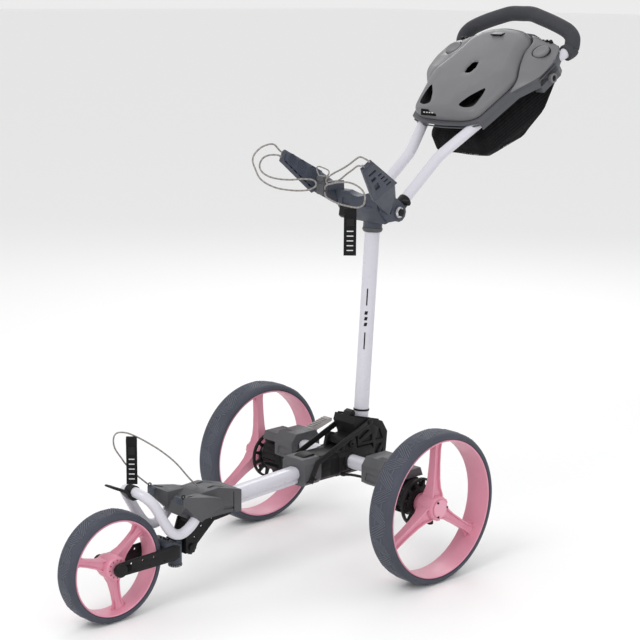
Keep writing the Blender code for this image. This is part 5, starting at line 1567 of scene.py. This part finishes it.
def lid_rings(inset, drop):
    """The lid's rings, from its rim to near its middle; inset and lowered for its inside."""
    outline = [Vector(p) for p in rounded_outline(mirrored(LID_OUTLINE), 0.016, 5)]
    crest = [Vector(p) for p in rounded_outline(mirrored(LID_TOP), 0.016, 5)]
    def ring(points, n, share=1.0):
        drawn = []
        for p in points:
            away = p - LID_MIDDLE
            drawn.append(LID_MIDDLE + away * share - away.normalized() * inset)
        return [on_handle(p.x, p.y, n) for p in drawn]
    rings = [ring(outline, 0.0196), ring(outline, 0.0222 - drop)]
    for k in range(1, 10):
        turn = math.radians(90) * k / 9
        shift = 1 - math.cos(turn)
        height = 0.0230 + 0.0240 * math.sin(turn)
        points = [o.lerp(c, shift) for o, c in zip(outline, crest)]
        rings.append(ring(points, height - drop))
    for share in (0.85, 0.68, 0.50, 0.32, 0.18):
        rings.append(ring(crest, 0.0470 + 0.0022 * (1 - share ** 2) - drop, share))
    return rings


def lid_looks():
    shell = loft(lid_rings(0.0, 0.0) + lid_rings(0.003, 0.003)[::-1])
    facets = []
    for side in (1, -1):
        lean = (N_AXIS + X_AXIS * side * 0.16 - U_AXIS * 0.10).normalized()
        run = (U_AXIS - lean * U_AXIS.dot(lean)).normalized()
        facets.append(slab(on_handle(side * 0.040, 0.310, 0.0478) + lean * 0.02, run,
                           lean.cross(run), lean, (0.40, 0.30, 0.04)))
    piece("console_lid_shell", cut(shell, *facets), CONSOLE, "console_lid", ["console_lid"],
          bevel=0.0006, smooth=24)
    front = on_handle(0.0, 0.4820, 0.0470)
    slope = (U_AXIS * 0.93 - N_AXIS * 0.37).normalized()
    face = slope.cross(X_AXIS)
    face = face if face.dot(N_AXIS) > 0 else -face
    # painted shade: a nearly black slab behind the latch tab stands in for the shade in the gap
    # round it
    piece("console_latch_gap_shade", slab(front, X_AXIS, slope, face, (0.0300, 0.0215, 0.0020)),
          DARK, "console_lid", slot="console_plastic")
    piece("console_latch_tab", slab(front + face * 0.0006, X_AXIS, slope, face,
                                    (0.0276, 0.0192, 0.0024)),
          CONSOLE, "console_lid", slot="console_plastic", bevel=0.0006)
    rise = (U_AXIS * 0.66 + N_AXIS * 0.75).normalized()
    out = X_AXIS.cross(rise)
    out = out if out.dot(N_AXIS) > 0 else -out
    middle = on_handle(-0.0330, 0.2470, 0.0340)
    piece("console_badge_plate", slab(middle, X_AXIS, rise, out, (0.0420, 0.0130, 0.0026)),
          DARK, "console_lid", slot="console_plastic", bevel=0.0006)
    bars = [slab(middle + X_AXIS * (-0.0113 + 0.0075 * k) + out * 0.0010, X_AXIS, rise, out,
                 (0.0044, 0.0020, 0.0014)) for k in range(4)]
    piece("console_badge_bars", gathered(*bars), PRINT_WHITE, "console_lid",
          slot="console_plastic")


def wing_mesh(side):
    """The raised shoulder beside the lid, falling to the console's edge, with a knob seat."""
    inner = smooth_path([Vector(p) for p in ((0.1130, 0.338), (0.1155, 0.372), (0.0985, 0.411),
                                             (0.0862, 0.447), (0.0850, 0.479), (0.0605, 0.5065))],
                        6)
    outer = smooth_path([Vector(p) for p in ((0.1140, 0.340), (0.1500, 0.386), (0.1578, 0.420),
                                             (0.1560, 0.450), (0.1400, 0.484), (0.0800, 0.5040))],
                        6)
    rings = []
    for i, (a, b) in enumerate(zip(inner, outer)):
        fade = min(1.0, i / 8, (len(inner) - 1 - i) / 4 + 0.3)
        section = [(0.0, 0.0165), (0.0, 0.0185 + 0.0125 * fade), (0.10, 0.0185 + 0.0126 * fade),
                   (0.45, 0.0185 + 0.0078 * fade), (0.85, 0.0192), (0.985, 0.0182),
                   (1.0, 0.0165)]
        ring = []
        for share, n in section:
            p = a.lerp(b, share)
            ring.append(on_handle(side * p.x, p.y, n))
        rings.append(ring)
    seat = turned(on_handle(side * 0.119, 0.455, 0.0182), N_AXIS, [(0.0, 0.0196),
                                                                   (0.030, 0.0196)], 48)
    return cut(loft(rings), seat)


def console_looks():
    piece("console_base_shell", node_mesh("console_base"), SKIRT, "handle", ["console_base"],
          bevel=0.0016, smooth=30)
    edge = mirrored(CONSOLE_OUTLINE)
    rings = []
    for share, n in ((1.008, 0.0060), (1.008, 0.0085), (0.990, 0.0085), (0.990, 0.0060)):
        rings.append([on_handle(x * share, 0.380 + (u - 0.380) * share, n) for x, u in edge])
    piece("console_lower_band", loft(rings, closed=True), SKIRT, "handle",
          slot="console_plastic", bevel=0.0008)
    for name, side in SIDES:
        run = [Vector(p) for p in ((0.0905, 0.252), (0.1175, 0.350), (0.1500, 0.386),
                                   (0.1580, 0.440), (0.1470, 0.474))]
        wall = [p - Vector((0.0022, 0.0)) for p in run]
        rings = []
        for a, b in zip(run, wall):
            rings.append([on_handle(side * p.x, p.y, n) for p, n in
                          ((a, 0.0125), (a, -0.0070), (b, -0.0070), (b, 0.0125))])
        piece(f"console_skirt_{name}", loft(rings), SKIRT, "handle", slot="console_plastic",
              bevel=0.0006)
    # painted shade: a nearly black strip under the lid's edge stands in for the shadow line
    # between lid and base
    shadow_line = [(x * 0.985, 0.379 + (u - 0.379) * 0.985) for x, u in mirrored(LID_OUTLINE)]
    inside = [(x * 0.93, 0.379 + (u - 0.379) * 0.95) for x, u in mirrored(LID_OUTLINE)]
    rings = [[on_handle(x, u, n) for x, u in outline] for outline, n in
             ((shadow_line, 0.0179), (shadow_line, 0.0195), (inside, 0.0195), (inside, 0.0179))]
    piece("console_lid_shadow_line", loft(rings, closed=True), DARK, "handle",
          slot="console_plastic")
    for name, side in SIDES:
        piece(f"console_wing_{name}", wing_mesh(side), CONSOLE, "handle",
              slot="console_plastic", bevel=0.0006, smooth=40)
        y_boss = on_handle(side * 0.1535, 0.4180, -0.0100)
        boss = turned(y_boss, X_AXIS * side, [(0.0, 0.0098), (0.0065, 0.0098), (0.0075, 0.0090)],
                      36)
        well = turned(y_boss + X_AXIS * side * 0.0030, X_AXIS * side, [(0.0, 0.0062),
                                                                       (0.008, 0.0062)], 36)
        piece(f"console_side_boss_{name}", cut(boss, well), CONSOLE, "handle",
              slot="console_plastic", smooth=30)
        socket_screw(y_boss + X_AXIS * side * 0.0028, X_AXIS * side, 0.0052, 0.0030, STRAP,
                     f"console_side_screw_{name}", "handle")


def knob_looks(name, side):
    """An accessory cap: a disc with a dark knurled rim."""
    body = f"accessory_cap_{name}"
    centre = on_handle(side * 0.119, 0.455, 0.0)
    disc = turned(centre, N_AXIS, [(0.0184, 0.0180), (0.0268, 0.0180), (0.0284, 0.0170),
                                   (0.0292, 0.0150), (0.0288, 0.0120)], 56)
    piece(f"accessory_disc_{name}", disc, CONSOLE, body, [body], smooth=30)
    knurl = slab(X_AXIS * 0.0184 + N_AXIS * 0.0222, X_AXIS, N_AXIS.cross(X_AXIS), N_AXIS,
                 (0.0016, 0.0022, 0.0040))
    round_copies(f"accessory_knurl_{name}", knurl, centre, N_AXIS, 28, BLACK, body,
                 slot="console_plastic")
    hole = turned(centre + U_AXIS * -0.0235 + N_AXIS * 0.0185, N_AXIS, [(0.0, 0.0024),
                                                                       (0.0045, 0.0024)], 20)
    piece(f"accessory_stop_{name}", hole, BLACK, "handle", slot="console_plastic")
    clip = [slab(on_handle(side * (0.100 + 0.010 * k), 0.4900, 0.0210), X_AXIS, U_AXIS, N_AXIS,
                 (0.0062, 0.0060, 0.0100)) for k in range(3)]
    piece(f"accessory_clips_{name}", gathered(*clip), BLACK, "handle", slot="console_plastic",
          bevel=0.0008)


def pouch_ring(depth, grow, count=96):
    """One level of the net pouch: an even number of points round a soft outline."""
    levels = [(0.0112, 0.0560, 0.1240, 0.262, 0.486), (-0.0135, 0.0560, 0.1240, 0.262, 0.486),
              (-0.040, 0.078, 0.134, 0.247, 0.462), (-0.072, 0.080, 0.124, 0.244, 0.412),
              (-0.102, 0.052, 0.090, 0.272, 0.362)]
    spot = depth * (len(levels) - 1)
    low = min(int(spot), len(levels) - 2)
    share = spot - low
    n, front, rear, near, far = (a + (b - a) * share for a, b in zip(levels[low],
                                                                     levels[low + 1]))
    front, rear, near, far = front + grow, rear + grow, near - grow, far + grow
    half = [(0.0, near), (front * 0.8, near), (front, near + 0.016), (rear, far - 0.02),
            (rear * 0.88, far), (0.0, far)]
    outline = rounded_outline(mirrored(half), 0.030, 8)
    ring = []
    for k in range(count):
        x, u = outline[int(k * len(outline) / count)]
        wave = 0.0022 * math.sin(9 * depth + 7 * 2 * math.pi * k / count) * min(1.0, 3 * depth)
        ring.append(on_handle(x + wave * math.copysign(1, x) * 0.5, u + wave * 0.4, n))
    return ring


def pouch_grid(grow, levels, count, drop):
    """The pouch as one open sheet of quads: side wall, then a gathered floor."""
    bm = bmesh.new()
    layer = bm.loops.layers.uv.new("along")
    rings = [pouch_ring(i / levels, grow, count) for i in range(levels + 1)]
    middle = on_handle(0.0, 0.317, -0.102 - drop)
    for share in (0.72, 0.45, 0.2):
        rings.append([middle.lerp(p - N_AXIS * drop * (1 - share), share)
                      for p in rings[levels]])
    rows = [[bm.verts.new(p) for p in ring] for ring in rings]
    for i in range(len(rows) - 1):
        for j in range(count):
            k = (j + 1) % count
            face = bm.faces.new((rows[i][j], rows[i][k], rows[i + 1][k], rows[i + 1][j]))
            for loop, (a, b) in zip(face.loops, ((j, i), (j + 1, i), (j + 1, i + 1),
                                                 (j, i + 1))):
                loop[layer].uv = (a / count, b / len(rows))
    bm.faces.new(rows[-1])
    return bm


def cloth_area(bm):
    return sum(face.calc_area() for face in bm.faces)


def net_looks():
    """A dark sheet of painted shade under a knotted net, standing in for the pouch's shaded
    inside, and a bound rim.
    """
    sheet = pouch_grid(-0.0010, 16, 96, 0.003)
    area = cloth_area(sheet)
    bmesh.ops.solidify(sheet, geom=sheet.faces[:], thickness=0.0010)
    # painted shade: this sheet fills the net with the dark of the pouch's inside
    shade_backing = piece("pouch_shade_backing", closed_mesh(sheet), POUCH_SHADE, "handle", ["net_bag"], smooth=60)
    net = pouch_grid(0.0006, 22, 96, 0.003)
    mesh = bpy.data.meshes.new("net")
    net.to_mesh(mesh)
    net.free()
    yarn = grown("pouch_netting", mesh, STRANDS, NET, "handle", slot="net", Radius=0.00055,
                 Sides=6)
    rim_path = [p - N_AXIS * 0.001 for p in pouch_ring(0.01, 0.0010, 96)]
    rim = piece("pouch_rim", closed_cord(rim_path, 0.0022), WEBBING, "handle", slot="net",
                smooth=50)
    for obj in (shade_backing, yarn, rim):
        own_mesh(obj)


def closed_cord(path, radius, sides=10):
    """A round bead along a closed path."""
    count = len(path)
    rings = []
    for i, p in enumerate(path):
        tangent = (path[(i + 1) % count] - path[i - 1]).normalized()
        a = (N_AXIS - tangent * N_AXIS.dot(tangent)).normalized()
        b = tangent.cross(a)
        rings.append([p + a * radius * c + b * radius * s for c, s in circle(1.0, sides)])
    return loft(rings, closed=True)


handle_tube_looks()
lid_looks()
console_looks()
for side_name, side_sign in SIDES:
    knob_looks(side_name, side_sign)
net_looks()


# ---------------------------------------------------------------- floor and light
def make_stage():
    mesh = bpy.data.meshes.new("floor")
    size = 60.0
    mesh.from_pydata([(-size, -size, -0.0004), (size, -size, -0.0004), (size, size, -0.0004),
                      (-size, size, -0.0004)], [], [(0, 1, 2, 3)])
    floor = bpy.data.objects.new("floor", mesh)
    bpy.context.collection.objects.link(floor)
    paper = bpy.data.materials.new("pale_floor")
    paper.use_nodes = True
    shader = paper.node_tree.nodes["Principled BSDF"]
    shader.inputs["Base Color"].default_value = (0.93, 0.93, 0.93, 1.0)
    shader.inputs["Roughness"].default_value = 0.9
    mesh.materials.append(paper)
    world = bpy.data.worlds.new("studio")
    world.use_nodes = True
    sky = world.node_tree.nodes["Background"]
    sky.inputs["Color"].default_value = (1.0, 1.0, 1.0, 1.0)
    sky.inputs["Strength"].default_value = 0.84
    bpy.context.scene.world = world
    for name, place, size, power in (("key", (0.6, -2.6, 2.9), 1.6, 42.0),
                                     ("fill", (3.0, -0.4, 1.6), 1.8, 10.0),
                                     ("back", (-1.8, 2.2, 2.4), 1.6, 20.0)):
        data = bpy.data.lights.new(name, "AREA")
        data.size = size
        data.energy = power
        lamp = bpy.data.objects.new(name, data)
        lamp.location = place
        aim = Vector((0.0, 0.0, 0.45)) - Vector(place)
        lamp.rotation_euler = aim.to_track_quat("-Z", "Y").to_euler()
        bpy.context.collection.objects.link(lamp)
    bpy.context.scene.view_settings.view_transform = "Standard"


make_stage()
